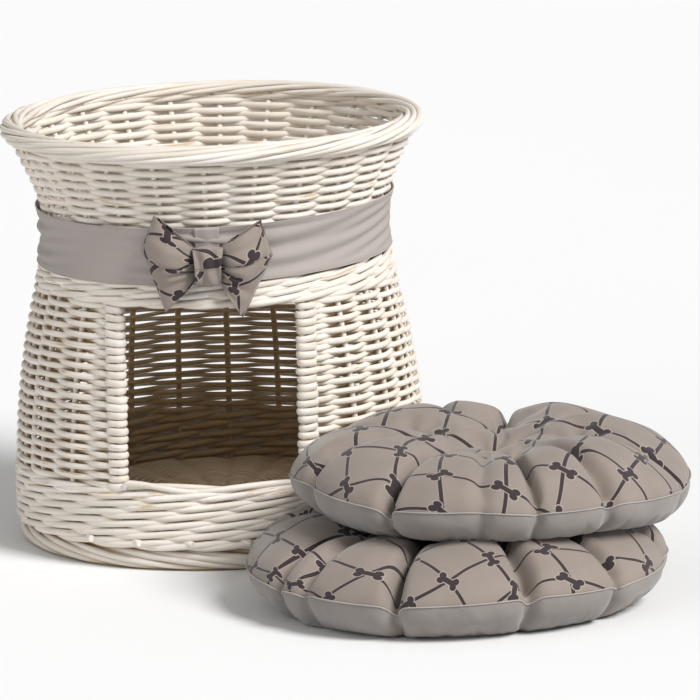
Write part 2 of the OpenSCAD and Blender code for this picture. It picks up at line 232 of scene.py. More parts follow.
class Rods:
    """Many rods gathered into one mesh."""

    def __init__(self, seed):
        self.rng = np.random.default_rng(seed)
        self.points, self.faces, self.uvs, self.tones, self.wash_and_shade_values = [], [], [], [], []
        self.count = 0

    def add(self, paths, radius, ref, sides=6, closed=False, flat=1.0, wash=None):
        """Sweeps a ring of points along each path. At every path point the ring lies in
        the plane across the path: radius times the cosine along ref, and radius times flat
        times the sine across it. U is the length along the rod and V the way round it."""
        rods, n, _ = paths.shape
        radius = np.broadcast_to(radius, (rods, n))
        if closed:
            along = np.roll(paths, -1, 1) - np.roll(paths, 1, 1)
        else:
            along = np.gradient(paths, axis=1)
        along /= np.maximum(np.linalg.norm(along, axis=-1, keepdims=True), 1e-12)
        side = np.cross(along, np.broadcast_to(ref, paths.shape))
        side /= np.maximum(np.linalg.norm(side, axis=-1, keepdims=True), 1e-12)
        out = np.cross(side, along)
        angle = TURN * np.arange(sides) / sides
        ring = (out[:, :, None] * np.cos(angle)[:, None]
                + side[:, :, None] * np.sin(angle)[:, None] * flat)
        points = paths[:, :, None] + ring * radius[:, :, None, None]
        index = self.count + np.arange(rods * n * sides).reshape(rods, n, sides)
        a = index if closed else index[:, :-1]
        b = np.roll(index, -1, 1) if closed else index[:, 1:]
        quads = np.stack([a, np.roll(a, -1, 2), np.roll(b, -1, 2), b], -1).reshape(-1, 4)
        step = np.linalg.norm(np.diff(paths, axis=1), axis=-1)
        s = np.concatenate([np.zeros((rods, 1)), np.cumsum(step, 1)], 1)
        if closed:
            s = np.concatenate([s, s[:, -1:] + step.mean()], 1)
        s = s + self.rng.uniform(0, 5, (rods, 1))
        v0 = self.rng.uniform(0, 5, (rods, 1, 1))
        v = v0 + np.arange(sides + 1)[None, None] / sides * TURN * radius.mean()
        s0, s1 = s[:, :-1, None], s[:, 1:, None]
        va, vb = v[..., :-1], v[..., 1:]
        shape = a.shape
        uv = np.stack([np.stack(np.broadcast_arrays(p, q), -1) * np.ones(shape + (1,))
                       for p, q in ((s0, va), (s0, vb), (s1, vb), (s1, va))], 3)
        self.faces += quads.tolist()
        self.uvs.append(uv.reshape(-1, 2))
        if not closed:
            for ends, at in ((index[:, 0, ::-1], s[:, 0]), (index[:, -1], s[:, -1])):
                self.faces += ends.tolist()
                self.uvs.append(np.stack([np.repeat(at, sides), np.repeat(v0.ravel(), sides)], -1))
        self.points.append(points.reshape(-1, 3))
        self.tones.append(np.repeat(self.rng.uniform(0, 1, rods), n * sides))
        # by default the limewash value comes from the place: lowered inside the cave, partly for thin
        # limewash and partly as painted shade
        if wash is None:
            wash = wash_and_cave_shade(points.reshape(-1, 3))
        self.wash_and_shade_values.append(np.broadcast_to(wash, (rods * n * sides,)))
        self.count += rods * n * sides
        return self

    def build(self, name, nodes, finish, body="basket", slot="willow_wall"):
        """Makes the mesh object, with its finish, the nodes it stands for and its body."""
        mesh = bpy.data.meshes.new(name)
        mesh.from_pydata(np.concatenate(self.points).tolist(), [], self.faces)
        layer = mesh.uv_layers.new(name="rod_uv")
        layer.data.foreach_set("uv", np.concatenate(self.uvs).astype(np.float32).ravel())
        for key, values in (("tone", self.tones), ("wash", self.wash_and_shade_values)):
            attr = mesh.attributes.new(key, "FLOAT", "POINT")
            attr.data.foreach_set("value", np.concatenate(values).astype(np.float32))
        piece = finish_piece(name, mesh, nodes, finish, body)
        cut = np.array([len(face) > 4 for face in self.faces])
        mesh.polygons.foreach_set("use_smooth", ~cut)
        return piece


def wash_and_cave_shade(points):
    """How white the limewash is, with painted shade in the cave: full outside and in the bowl; on the inner
    side of the cave it falls to 0.10, partly for thin limewash and partly as painted shade.
    """
    r, z = np.hypot(points[:, 0], points[:, 1]), points[:, 2]
    # inner faces in the cave get little limewash: partly bare willow, partly painted shade
    outside = smooth(r - wall_mid(z), -3 * MM, 2 * MM)
    return np.where(z > TRAY_Z + 2 * MM, 1.0, 0.10 + 0.90 * outside)


def finish_piece(name, mesh, nodes, finish, body):
    """Links a mesh as a piece that rides on a body and stands for nodes."""
    mesh.materials.append(finish)
    mesh.shade_smooth()
    piece = bpy.data.objects.new(name, mesh)
    bpy.context.scene.collection.objects.link(piece)
    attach(piece, body)
    if nodes:
        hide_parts(*nodes)
    return piece


def grid_faces(rows, columns, wrap=False, flip=False):
    """Quads between the points of a grid, joined round in the column direction if asked."""
    index = np.arange(rows * columns).reshape(rows, columns)
    if wrap:
        index = np.concatenate([index, index[:, :1]], 1)
    a, b, c, d = index[:-1, :-1], index[:-1, 1:], index[1:, 1:], index[1:, :-1]
    quads = np.stack([a, b, c, d], -1).reshape(-1, 4)
    return quads[:, ::-1] if flip else quads


def put_uv(mesh, name, per_point):
    """Writes one UV pair per point onto every corner that uses the point."""
    layer = mesh.uv_layers.new(name=name)
    corner = np.empty(len(mesh.loops), np.int32)
    mesh.loops.foreach_get("vertex_index", corner)
    layer.data.foreach_set("uv", per_point[corner].astype(np.float32).ravel())


# ---------- materials ----------

class Shader:
    """Short words for making node trees."""

    def __init__(self, tree):
        self.tree = tree

    def node(self, kind, **settings):
        made = self.tree.nodes.new("ShaderNode" + kind)
        for key, value in settings.items():
            setattr(made, key, value)
        return made

    def put(self, socket, value):
        if isinstance(value, bpy.types.NodeSocket):
            self.tree.links.new(value, socket)
        else:
            socket.default_value = value

    def math(self, operation, *values, clamp=False):
        made = self.node("Math", operation=operation, use_clamp=clamp)
        for socket, value in zip(made.inputs, values):
            self.put(socket, value)
        return made.outputs[0]

    def mix(self, factor, a, b, blend="MIX"):
        made = self.node("Mix", data_type="RGBA", blend_type=blend)
        for socket, value in ((made.inputs[0], factor), (made.inputs[6], a), (made.inputs[7], b)):
            self.put(socket, value)
        return made.outputs[2]

    def ramp(self, value, low, high, to_low=0.0, to_high=1.0):
        made = self.node("MapRange", interpolation_type="SMOOTHSTEP")
        for socket, v in zip(made.inputs[:5], (value, low, high, to_low, to_high)):
            self.put(socket, v)
        return made.outputs[0]

    def noise(self, vector, scale, detail=2.0, roughness=0.5):
        made = self.node("TexNoise")
        self.put(made.inputs["Vector"], vector)
        self.put(made.inputs["Scale"], scale)
        self.put(made.inputs["Detail"], detail)
        self.put(made.inputs["Roughness"], roughness)
        return made.outputs["Fac"]

    def stretch(self, vector, scale):
        made = self.node("Mapping")
        self.put(made.inputs["Vector"], vector)
        made.inputs["Scale"].default_value = scale
        return made.outputs[0]


def new_group(name, inputs, outputs):
    """An empty shader group with named sockets; gives it, its words, its ends."""
    group = bpy.data.node_groups.new(name, "ShaderNodeTree")
    for key, kind, value in inputs:
        socket = group.interface.new_socket(key, in_out="INPUT", socket_type=kind)
        if value is not None:
            socket.default_value = value
    for key, kind in outputs:
        group.interface.new_socket(key, in_out="OUTPUT", socket_type=kind)
    words = Shader(group)
    return group, words, group.nodes.new("NodeGroupInput"), group.nodes.new("NodeGroupOutput")


def grain_group():
    """Streaks and fine grain that run along a rod: noise stretched far along U."""
    group, w, start, end = new_group(
        "rod_grain", [("Vector", "NodeSocketVector", None)],
        [("Streak", "NodeSocketFloat"), ("Grain", "NodeSocketFloat"), ("Mottle", "NodeSocketFloat")])
    uv = start.outputs["Vector"]
    w.put(end.inputs["Streak"], w.noise(w.stretch(uv, (22, 330, 1)), 1.0, 3.0, 0.6))
    w.put(end.inputs["Grain"], w.noise(w.stretch(uv, (60, 1500, 1)), 1.0, 2.0))
    w.put(end.inputs["Mottle"], w.noise(w.stretch(uv, (14, 60, 1)), 1.0, 2.0))
    return group


def cotton_group():
    """The fine plain weave of the cotton, and soft large-scale unevenness."""
    group, w, start, end = new_group(
        "cotton_weave", [("Vector", "NodeSocketVector", None)],
        [("Thread", "NodeSocketFloat"), ("Uneven", "NodeSocketFloat")])
    at = start.outputs["Vector"]
    split = w.node("SeparateXYZ")
    w.put(split.inputs[0], at)
    waves = [w.math("SINE", w.math("MULTIPLY", split.outputs[i], 7800.0)) for i in range(3)]
    total = w.math("ADD", w.math("ADD", waves[0], waves[1]), waves[2])
    rough = w.noise(at, 900.0, 2.0)
    w.put(end.inputs["Thread"], w.math("ADD", w.math("MULTIPLY", total, 0.12), rough))
    w.put(end.inputs["Uneven"], w.noise(at, 26.0, 3.0))
    return group


# The printed bone, from its middle: how far out its four discs lie along it and across
# it, their radius, half the width of the bar between them, and half the width of a line
BONE_REACH = 9.2 * MM
BONE_GAP = 3.8 * MM
BONE_DISC = 4.2 * MM
BONE_BAR = 3.6 * MM
LINE_HALF = 2.0 * MM


def bones_group():
    """The print: a diamond lattice of lines, bent a little by noise, with a bone on every
    crossing. A bone is a bar joined to four discs, turned at random for each crossing."""
    group, w, start, end = new_group(
        "bone_print", [("Vector", "NodeSocketVector", None), ("Across", "NodeSocketFloat", 92 * MM),
                       ("Up", "NodeSocketFloat", 80 * MM)],
        [("Ink", "NodeSocketFloat"), ("Edge", "NodeSocketFloat")])
    at, across, up = (start.outputs[k] for k in ("Vector", "Across", "Up"))
    bend = w.node("TexNoise")
    w.put(bend.inputs["Vector"], at)
    bend.inputs["Scale"].default_value = 5.5
    bend.inputs["Detail"].default_value = 0.0
    shift = w.node("VectorMath", operation="MULTIPLY_ADD")
    w.put(shift.inputs[0], bend.outputs["Color"])
    shift.inputs[1].default_value = (0.06, 0.06, 0)
    w.put(shift.inputs[2], at)
    split = w.node("SeparateXYZ")
    w.put(split.inputs[0], shift.outputs[0])
    x = w.math("DIVIDE", split.outputs[0], across)
    y = w.math("DIVIDE", split.outputs[1], up)
    a, b = w.math("ADD", x, y), w.math("SUBTRACT", x, y)
    ra, rb = w.math("ROUND", a), w.math("ROUND", b)
    da, db = w.math("SUBTRACT", a, ra), w.math("SUBTRACT", b, rb)
    px = w.math("MULTIPLY", w.math("MULTIPLY", w.math("ADD", da, db), 0.5), across)
    py = w.math("MULTIPLY", w.math("MULTIPLY", w.math("SUBTRACT", da, db), 0.5), up)
    cell = w.node("CombineXYZ")
    w.put(cell.inputs[0], ra)
    w.put(cell.inputs[1], rb)
    chance = w.node("TexWhiteNoise", noise_dimensions="2D")
    w.put(chance.inputs["Vector"], cell.outputs[0])
    turn = w.math("MULTIPLY", chance.outputs["Value"], TURN)
    c, s = w.math("COSINE", turn), w.math("SINE", turn)
    bx = w.math("ABSOLUTE", w.math("ADD", w.math("MULTIPLY", px, c), w.math("MULTIPLY", py, s)))
    by = w.math("ABSOLUTE", w.math("SUBTRACT", w.math("MULTIPLY", py, c), w.math("MULTIPLY", px, s)))
    ex, ey = w.math("SUBTRACT", bx, BONE_REACH), w.math("SUBTRACT", by, BONE_GAP)
    disc = w.math("SUBTRACT", w.math("SQRT", w.math(
        "ADD", w.math("MULTIPLY", ex, ex), w.math("MULTIPLY", ey, ey))), BONE_DISC)
    bar = w.math("MAXIMUM", ex, w.math("SUBTRACT", by, BONE_BAR))
    bone = w.math("MINIMUM", disc, bar)
    slope = w.math("MULTIPLY", across, 0.655)
    near = w.math("MINIMUM", w.math("ABSOLUTE", da), w.math("ABSOLUTE", db))
    line = w.math("SUBTRACT", w.math("MULTIPLY", near, slope), LINE_HALF)
    in_bone = w.ramp(bone, -0.0003, 0.0003, 1.0, 0.0)
    in_line = w.ramp(line, -0.0003, 0.0003, 1.0, 0.0)
    halo = w.math("MULTIPLY", w.ramp(bone, 0.0009, 0.0014, 1.0, 0.0),
                  w.math("SUBTRACT", 1.0, in_bone))
    edge = w.math("MAXIMUM", halo, w.math("MULTIPLY", w.ramp(line, 0.0003, 0.0009, 1.0, 0.0),
                                          w.math("SUBTRACT", 1.0, in_line)))
    lines = w.math("MULTIPLY", in_line, w.math("SUBTRACT", 1.0, halo))
    w.put(end.inputs["Ink"], w.math("MAXIMUM", in_bone, lines))
    w.put(end.inputs["Edge"], edge)
    return group


def start_material(name):
    """A new node material; gives it, its words and its Principled shader."""
    material = bpy.data.materials.new(name)
    material.use_nodes = True
    return material, Shader(material.node_tree), material.node_tree.nodes["Principled BSDF"]


def bumped(w, shader, height, strength, distance):
    """Feeds a height through a Bump node into the shader's normal."""
    bump = w.node("Bump")
    bump.inputs["Strength"].default_value = strength
    bump.inputs["Distance"].default_value = distance
    w.put(bump.inputs["Height"], height)
    w.put(shader.inputs["Normal"], bump.outputs[0])


def grouped(w, name, **inputs):
    """Places a shared group and fills its inputs."""
    made = w.node("Group")
    made.node_tree = bpy.data.node_groups[name]
    for key, value in inputs.items():
        w.put(made.inputs[key], value)
    return made.outputs


def rgba(value, share=1.0):
    """A colour as four numbers, made darker or lighter by a share, or by one per channel."""
    return (*(np.array(value) * share).tolist(), 1.0)


def willow(name, tone=1.0, streak_from=0.53):
    """Limewashed willow: white limewash over tan wood that shows in slivers along the rod, and all over
    where the limewash value is low, which inside the cave is partly painted shade.
    """
    c = bpy.context.scene.basket_colours
    material, w, shader = start_material(name)
    uv = w.node("UVMap", uv_map="rod_uv").outputs[0]
    grain = grouped(w, "rod_grain", Vector=uv)
    # limewash value per point; its low values inside the cave are partly painted shade
    wash = w.node("Attribute", attribute_name="wash").outputs["Fac"]
    rod = w.node("Attribute", attribute_name="tone").outputs["Fac"]
    limit = w.math("ADD", streak_from, w.math("MULTIPLY", rod, 0.16))
    worn = w.ramp(w.math("SUBTRACT", grain["Streak"], limit), 0.0, 0.10)
    cover = w.math("MULTIPLY", wash, w.math("SUBTRACT", 1.0, w.math("MULTIPLY", worn, 0.85)))
    bare, white = np.array(c.bare) * tone, np.array(c.whitewash) * tone
    wood = w.mix(grain["Mottle"], rgba(bare, 0.72), rgba(bare, 1.2))
    paint = w.mix(w.ramp(rod, 0.0, 1.0), rgba(white), rgba(white, (0.92, 0.895, 0.85)))
    paint = w.mix(w.ramp(grain["Mottle"], 0.30, 0.75), rgba(white, (0.84, 0.80, 0.74)), paint)
    w.put(shader.inputs["Base Color"], w.mix(cover, wood, paint))
    w.put(shader.inputs["Roughness"], w.ramp(grain["Grain"], 0.2, 0.8, 0.42, 0.62))
    shader.inputs["Specular IOR Level"].default_value = 0.35
    ridges = w.math("ADD", grain["Grain"], w.math("MULTIPLY", grain["Streak"], 1.5))
    bumped(w, shader, ridges, 0.35, 0.4 * MM)
    return material


def soft_cotton(material, w, shader, weave, rough, thread):
    """Gives a material the soft sheen and the raised threads of cotton."""
    shader.inputs["Roughness"].default_value = rough
    shader.inputs["Sheen Weight"].default_value = 0.25
    shader.inputs["Specular IOR Level"].default_value = 0.25
    bumped(w, shader, weave["Thread"], thread, 0.3 * MM)
    return material


def plain_cotton(name, value, share=1.0):
    """Plain cotton with a fine weave, of a colour made darker or lighter by a share."""
    value = np.array(value) * share
    material, w, shader = start_material(name)
    at = w.node("TexCoord").outputs["Object"]
    weave = grouped(w, "cotton_weave", Vector=at)
    ground = w.mix(w.ramp(weave["Uneven"], 0.3, 0.7), rgba(value, 0.86), rgba(value))
    w.put(shader.inputs["Base Color"], ground)
    return soft_cotton(material, w, shader, weave, 0.82, 0.25)


def printed_cotton(name, across, up):
    """Beige cotton printed with bones on a lattice of lines of this width and height."""
    c = bpy.context.scene.basket_colours
    material, w, shader = start_material(name)
    uv = w.node("UVMap", uv_map="cut").outputs[0]
    print_ = grouped(w, "bone_print", Vector=uv, Across=across, Up=up)
    weave = grouped(w, "cotton_weave", Vector=w.node("TexCoord").outputs["Object"])
    ground = w.mix(w.ramp(weave["Uneven"], 0.3, 0.7), rgba(c.beige, 0.9), rgba(c.beige))
    ground = w.mix(print_["Edge"], ground, rgba(c.beige, 1.3))
    w.put(shader.inputs["Base Color"], w.mix(print_["Ink"], ground, rgba(c.ink)))
    return soft_cotton(material, w, shader, weave, 0.8, 0.22)


def finish(name):
    """The material of that name, made when it is first asked for."""
    if name in bpy.data.materials:
        return bpy.data.materials[name]
    for key, make in (("rod_grain", grain_group), ("cotton_weave", cotton_group),
                      ("bone_print", bones_group)):
        if key not in bpy.data.node_groups:
            make()
    c = bpy.context.scene.basket_colours
    makers = {
        "whitewashed_willow": lambda: willow("whitewashed_willow"),
        "border_willow": lambda: willow("border_willow", 0.97, 0.56),
        "cave_willow": lambda: willow("cave_willow", 1.15),
        "grey_cotton": lambda: plain_cotton("grey_cotton", c.grey),
        # the cushion sides are the grey at 0.7: painted shade on the gussets
        "gusset_painted_shade_cotton": lambda: plain_cotton("gusset_painted_shade_cotton", c.grey, 0.7),
        "seam_cotton": lambda: plain_cotton("seam_cotton", c.grey, 1.1),
        "tuft_thread": lambda: plain_cotton("tuft_thread", c.beige, 0.8),
        "printed_cotton": lambda: printed_cotton("printed_cotton", 92 * MM, 80 * MM),
        "bow_cotton": lambda: printed_cotton("bow_cotton", 64 * MM, 56 * MM),
    }
    return makers[name]()


# ---------- the weave ----------

def in_and_out(phase):
    """A single weaver's way past the stakes: a cosine, rounded off in front of each stake."""
    return np.cos(phase) * (1.12 - 0.12 * np.cos(phase) ** 2)


def single_rows(rods, z0, z1, amp=5.2 * MM, first=0, samples=7):
    """Single weavers: each row runs in front of one stake and behind the next. Its
    distance from the axis is the wall's middle plus a cosine with one wave for every two
    stakes; the next row is half a wave on."""
    s = bpy.context.scene.basket_weave
    rng = rods.rng
    rows = int(round((z1 - z0) / s.row_pitch))
    pitch = (z1 - z0) / rows
    n = s.stake_count * samples
    a = np.linspace(0, TURN, n, endpoint=False)[None]
    k = np.arange(rows)[:, None]
    z = z0 + (k + 0.5) * pitch
    row_z = z + 0.75 * MM * noise_line(rng, rows, n)
    phase = s.stake_count / 2 * a + (k + first) * np.pi
    reach = amp * (1 + 0.10 * noise_line(rng, rows, n, (3, 7, 11)))
    thick = s.weaver_d / 2 * (1 + 0.10 * noise_line(rng, rows, n, (1, 2)))
    paths = polar(wall_mid(row_z) + reach * in_and_out(phase), a, row_z)
    return rods.add(paths, thick, radial(paths), ROD_SIDES, closed=True, flat=s.press)


def thick_rows(rods, z0, z1, rows, samples=6):
    """Three-rod wale: in each row three rods take turns, in front of two stakes and behind
    the third. Out and in is a constant plus two cosines of the place in the three-stake
    wave; up and down is a sine of it, so that each float rises over the others."""
    s = bpy.context.scene.basket_weave
    rng = rods.rng
    pitch = (z1 - z0) / rows
    n = s.stake_count * samples
    a = np.linspace(0, TURN, n, endpoint=False)[None]
    row = np.repeat(np.arange(rows), 3)[:, None]
    strand = np.tile(np.arange(3), rows)[:, None]
    u = a / (TURN / s.stake_count) - strand - row * 1.37
    wave = TURN * (u - 0.5) / 3
    amp = s.stake_d / 2 + s.wale_d / 2 - 1.2 * MM
    out = amp * (0.30 + 1.05 * np.cos(wave) - 0.30 * np.cos(2 * wave))
    rise = pitch / 3.7 * np.sin(wave)
    z = z0 + (row + 0.5) * pitch + rise + 0.6 * MM * noise_line(rng, rows * 3, n)
    thick = s.wale_d / 2 * (1 + 0.10 * noise_line(rng, rows * 3, n, (1, 2, 4)))
    paths = polar(wall_mid(z) + out, a, z)
    return rods.add(paths, thick, radial(paths), ROD_SIDES, closed=True, flat=1.12)


def upright(rods, angles, z0, z1):
    """Stakes: rods that follow the wall's middle line from one height to another."""
    s = bpy.context.scene.basket_weave
    z = np.linspace(z0, z1, 34)[None]
    a = np.asarray(angles, float)[:, None]
    lean = 0.002 * noise_line(rods.rng, len(a), z.shape[1])
    paths = polar(wall_mid(z), a + lean, z)
    return rods.add(paths, s.stake_d / 2 * 0.98, radial(paths), ROD_SIDES)


def border(rods, radius, z, wide, tall, butt, tip, per_section, direction):
    """A rolled border: every rod starts a stake's space after the last one, turns once
    round the border's oval section over several spaces and gets thinner. Across the
    section it is a cosine of its turn times wide, and up it is a sine times tall."""
    rng = rods.rng
    count = BORDER_RODS
    span = per_section * TURN / count
    n = 14 * per_section
    t = np.linspace(0, 1, n)[None]
    first = np.arange(count)[:, None] * TURN / count + rng.uniform(-0.05, 0.05, (count, 1))
    a = first + t * span
    turn = direction * (t * TURN - np.pi * 0.9) + 0.24 * noise_line(rng, count, n, (1, 2))
    tuck = 1 - 0.45 * smooth(t, 0.90, 1.0) - 0.45 * (1 - smooth(t, 0.0, 0.10))
    grow = 1 + 0.07 * noise_line(rng, count, n, (1, 2))
    thick = ((butt + (tip - butt) * t) / 2 * (1 + 0.06 * noise_line(rng, count, n, (1, 3)))
             * rng.uniform(0.90, 1.10, (count, 1)))
    limit_r, limit_z = wide - thick, tall - thick
    paths = polar(radius + limit_r * np.cos(turn) * tuck * grow, a,
                  z + np.clip(limit_z * np.sin(turn) * tuck * grow, -limit_z, limit_z))
    return rods.add(paths, thick, radial(paths), ROD_SIDES)


def core(rods, radius, z, r):
    """The hidden filling of a border: one plain ring of rod."""
    a = np.linspace(0, TURN, 144, endpoint=False)[None]
    paths = polar(radius, a, z)
    return rods.add(paths, r, radial(paths), ROD_SIDES, closed=True)


def woven_disc(rods, z, r0, r1, wash):
    """A floor: rings woven over and under the spokes. Each ring's height is a cosine with
    one wave for every two spokes, and the next ring is half a wave on."""
    s = bpy.context.scene.basket_weave
    rows = int(round((r1 - r0) / (s.floor_d + 0.25 * MM)))
    pitch = (r1 - r0) / rows
    n = 6 * s.stake_count
    a = np.linspace(0, TURN, n, endpoint=False)[None]
    k = np.arange(rows)[:, None]
    radius = r0 + (k + 0.5) * pitch + 0.35 * MM * noise_line(rods.rng, rows, n)
    height = z + 4.0 * MM * np.cos(s.stake_count / 2 * a + np.pi / 2 + k * np.pi)
    paths = polar(radius, a, height)
    thick = s.floor_d / 2 * (1 + 0.08 * noise_line(rods.rng, rows, n, (1, 2)))
    return rods.add(paths, thick, (0, 0, 1), 6, closed=True, wash=wash)


def floor_spokes(rods, z, r1, wash):
    """The cross of eight sticks in the middle of a floor, the spokes out of it, and three
    rings that bind them."""
    count = bpy.context.scene.basket_weave.stake_count
    t = np.linspace(0, 1, 6)[None]
    a = (np.arange(count)[:, None] + 0.5) * TURN / count
    paths = polar(FLOOR_EYE_R + (r1 - FLOOR_EYE_R) * t, a, z)
    rods.add(paths, 2.9 * MM, (0, 0, 1), ROD_SIDES, wash=wash)
    place = (np.arange(4) - 1.5)[:, None] * 7 * MM
    run = (t - 0.5) * 92 * MM
    for over, lift in ((0, 2.6 * MM), (1, -2.6 * MM)):
        x, y = np.broadcast_arrays(run, place)
        pair = np.stack([x, y, np.full(x.shape, z + lift)], -1)
        if over:
            pair = pair[..., [1, 0, 2]]
        rods.add(pair, 3.2 * MM, (0, 0, 1), ROD_SIDES, wash=wash)
    ring = np.linspace(0, TURN, 96, endpoint=False)[None]
    bind = np.arange(3)[:, None]
    bound = polar((47 + 3.5 * bind) * MM, ring, z + 2.4 * MM * np.sin(8 * ring + bind * np.pi))
    rods.add(bound, 1.9 * MM, (0, 0, 1), 6, closed=True, wash=wash)
    return rods


class Step:
    """What all the basket's operators share."""
    bl_options = {"REGISTER", "UNDO"}

    @classmethod
    def poll(cls, context):
        return context.scene is not None


class BASKET_OT_stage(Step, bpy.types.Operator):
    """Sets the floor, the soft studio lights and the camera"""
    bl_idname = "basket.stage"
    bl_label = "Stage"

    def execute(self, context):
        scene = context.scene
        world = bpy.data.worlds.new("studio")
        world.use_nodes = True
        sky = world.node_tree.nodes["Background"]
        sky.inputs["Color"].default_value = rgba((1, 1, 1))
        sky.inputs["Strength"].default_value = 0.36
        scene.world = world
        mesh = bpy.data.meshes.new("studio_floor")
        far = 14.0
        corners = [(-far, -far, 0), (far, -far, 0), (far, far, 0), (-far, far, 0)]
        mesh.from_pydata(corners, [], [(0, 1, 2, 3)])
        floor = bpy.data.objects.new("studio_floor", mesh)
        scene.collection.objects.link(floor)
        material, w, shader = start_material("studio_floor")
        at = w.node("TexCoord").outputs["Object"]
        pale = w.mix(w.noise(at, 0.7), rgba((1, 1, 1), 0.80), rgba((1, 1, 1), 0.84))
        w.put(shader.inputs["Base Color"], pale)
        shader.inputs["Roughness"].default_value = 0.9
        mesh.materials.append(material)
        for name, place, soft, power in (
            ("key_light", (2.2, -1.7, 2.5), 24, 3.6),
            ("fill_light", (-2.6, -2.2, 1.3), 60, 0.65),
        ):
            light = bpy.data.lights.new(name, "SUN")
            light.angle = np.radians(soft)
            light.energy = power
            lamp = bpy.data.objects.new(name, light)
            back = np.array(place) / np.linalg.norm(place)
            side = np.cross((0, 0, 1), back)
            side /= np.linalg.norm(side)
            lamp.matrix_world = matrix_of(side, np.cross(back, side), back, place)
            scene.collection.objects.link(lamp)
        scene.view_settings.view_transform = "Standard"
        camera = bpy.data.objects.new("camera", bpy.data.cameras.new("camera"))
        camera.data.lens = CAMERA["lens"]
        camera.data.sensor_width = CAMERA["film"]
        camera.data.clip_end = 60
        pitch, yaw, roll = (np.radians(CAMERA[k]) for k in ("pitch", "yaw", "roll"))
        aim = np.array([np.sin(yaw) * np.cos(pitch), np.cos(yaw) * np.cos(pitch), -np.sin(pitch)])
        right = np.array([np.cos(yaw), -np.sin(yaw), 0])
        up = np.cross(right, aim)
        right, up = right * np.cos(roll) - up * np.sin(roll), up * np.cos(roll) + right * np.sin(roll)
        camera.matrix_world = matrix_of(right, up, -aim, CAMERA["place"])
        scene.collection.objects.link(camera)
        scene.camera = camera
        return {"FINISHED"}


def matrix_of(x, y, z, place):
    """A 4 by 4 matrix with these axes and this place."""
    m = np.eye(4)
    m[:3, 0], m[:3, 1], m[:3, 2], m[:3, 3] = x, y, z, place
    return Matrix(m.tolist())


class BASKET_OT_floors(Step, bpy.types.Operator):
    """Weaves the cave's floor and the floor between the bowl and the cave"""
    bl_idname = "basket.floors"
    bl_label = "Floors"

    def execute(self, context):
        # the cave's base floor gets little limewash: partly bare willow, partly painted shade
        for key, seed, wash in (("base", 11, 0.30), ("tray", 12, 0.75)):
            low_z, high_z = low(key + "_weave")[2], high(key + "_weave")[2]
            mid, edge = (low_z + high_z) / 2, high(key + "_weave")[0]
            rods = woven_disc(Rods(seed), mid, 58 * MM, edge, wash)
            rods.build(key + "_floor_weave", [key + "_weave"], finish("cave_willow"), slot="willow_floor")
            rods = floor_spokes(Rods(seed + 50), mid, edge - 3 * MM, wash)
            rods.build(key + "_floor_sticks", [key + "_sticks"], finish("cave_willow"), slot="willow_floor")
        return {"FINISHED"}


def door_angle(z, x):
    """The angle at which the wall's middle line has this sideways place."""
    return float(np.arcsin(x / wall_mid(z)))


class BASKET_OT_walls(Step, bpy.types.Operator):
    """Weaves the walls of the cave, the waist and the bowl"""
    bl_idname = "basket.walls"
    bl_label = "Walls"

    def execute(self, context):
        s = context.scene.basket_weave
        wale_top = SILL_LOW + 5 * MM
        rods = thick_rows(Rods(21), FOOT_TOP, wale_top, 6)
        add_butts(rods)
        rods.build("base_wale_rows", ["base_wale"], finish("whitewashed_willow"))
        rods = Rods(22)
        mid = (wale_top + DOOR_TOP) / 2
        for z0, z1 in ((wale_top, mid), (mid, DOOR_TOP)):
            rows = int(round((z1 - z0) / s.row_pitch))
            rows -= rows % 2
            pitch = (z1 - z0) / rows
            for k in range(rows):
                z = z0 + (k + 0.5) * pitch
                edge = door_angle(z, POST_X + 2 * MM)
                one_row(rods, z, edge, TURN - edge, k)
        rods.build("cave_wall_rows", ["lower_wall", "upper_wall"], finish("whitewashed_willow"))
        thick_rows(Rods(23), DOOR_TOP, TRAY_Z, 3).build(
            "lintel_rows", ["lintel_wale"], finish("whitewashed_willow"))
        split = BAND_TOP - 3 * MM
        single_rows(Rods(24), TRAY_Z, split, amp=4.8 * MM, samples=6).build(
            "waist_rows", ["waist_wall"], finish("whitewashed_willow"))
        single_rows(Rods(25), split, WALL_TOP + 3 * MM, first=1).build(
            "bowl_rows", ["bowl_wall"], finish("whitewashed_willow"))
        return {"FINISHED"}


def one_row(rods, z, start, stop, k):
    """One single row between two angles, with its ends tucked into the door posts. The
    weavers high up at the back are thinner, so that light comes through between them."""
    s = bpy.context.scene.basket_weave
    rng = rods.rng
    n = int(round((stop - start) / TURN * s.stake_count * 7))
    a = np.linspace(start, stop, n)[None]
    tuck = 0.07
    ends = smooth(a, start, start + tuck) * (1 - smooth(a, stop - tuck, stop))
    phase = s.stake_count / 2 * a + k * np.pi
    row_z = z + 0.8 * MM * noise_line(rng, 1, n)
    reach = 5.2 * MM * (1 + 0.10 * noise_line(rng, 1, n, (3, 7, 11))) * ends
    thick = s.weaver_d / 2 * (1 + 0.10 * noise_line(rng, 1, n, (1, 2)))
    at_back = smooth(a, 2.0, 2.3) * (1 - smooth(a, TURN - 2.3, TURN - 2.0))
    thick = thick * (1 - 0.27 * at_back * smooth(row_z, 100 * MM, 130 * MM))
    paths = polar(wall_mid(row_z) + reach * in_and_out(phase), a, row_z)
    rods.add(paths, thick, radial(paths), ROD_SIDES, flat=1.14)


def add_butts(rods):
    """Cut butt ends that stick out of the thick rows a little below the doorway."""
    t = np.linspace(0, 1, 4)[None]
    degrees = np.array([-39, -24, -9, 7, 31, 64, 100, 150, 197, 243, 288])
    a = np.radians(degrees)[:, None]
    z = FOOT_TOP + (8.5 - 1.5 * t) * MM
    paths = polar(wall_out(z) - 6 * MM + 8.5 * MM * t, a + t * 0.055, z)
    rods.add(paths, 3.5 * MM, radial(paths), 10, wash=1.0)


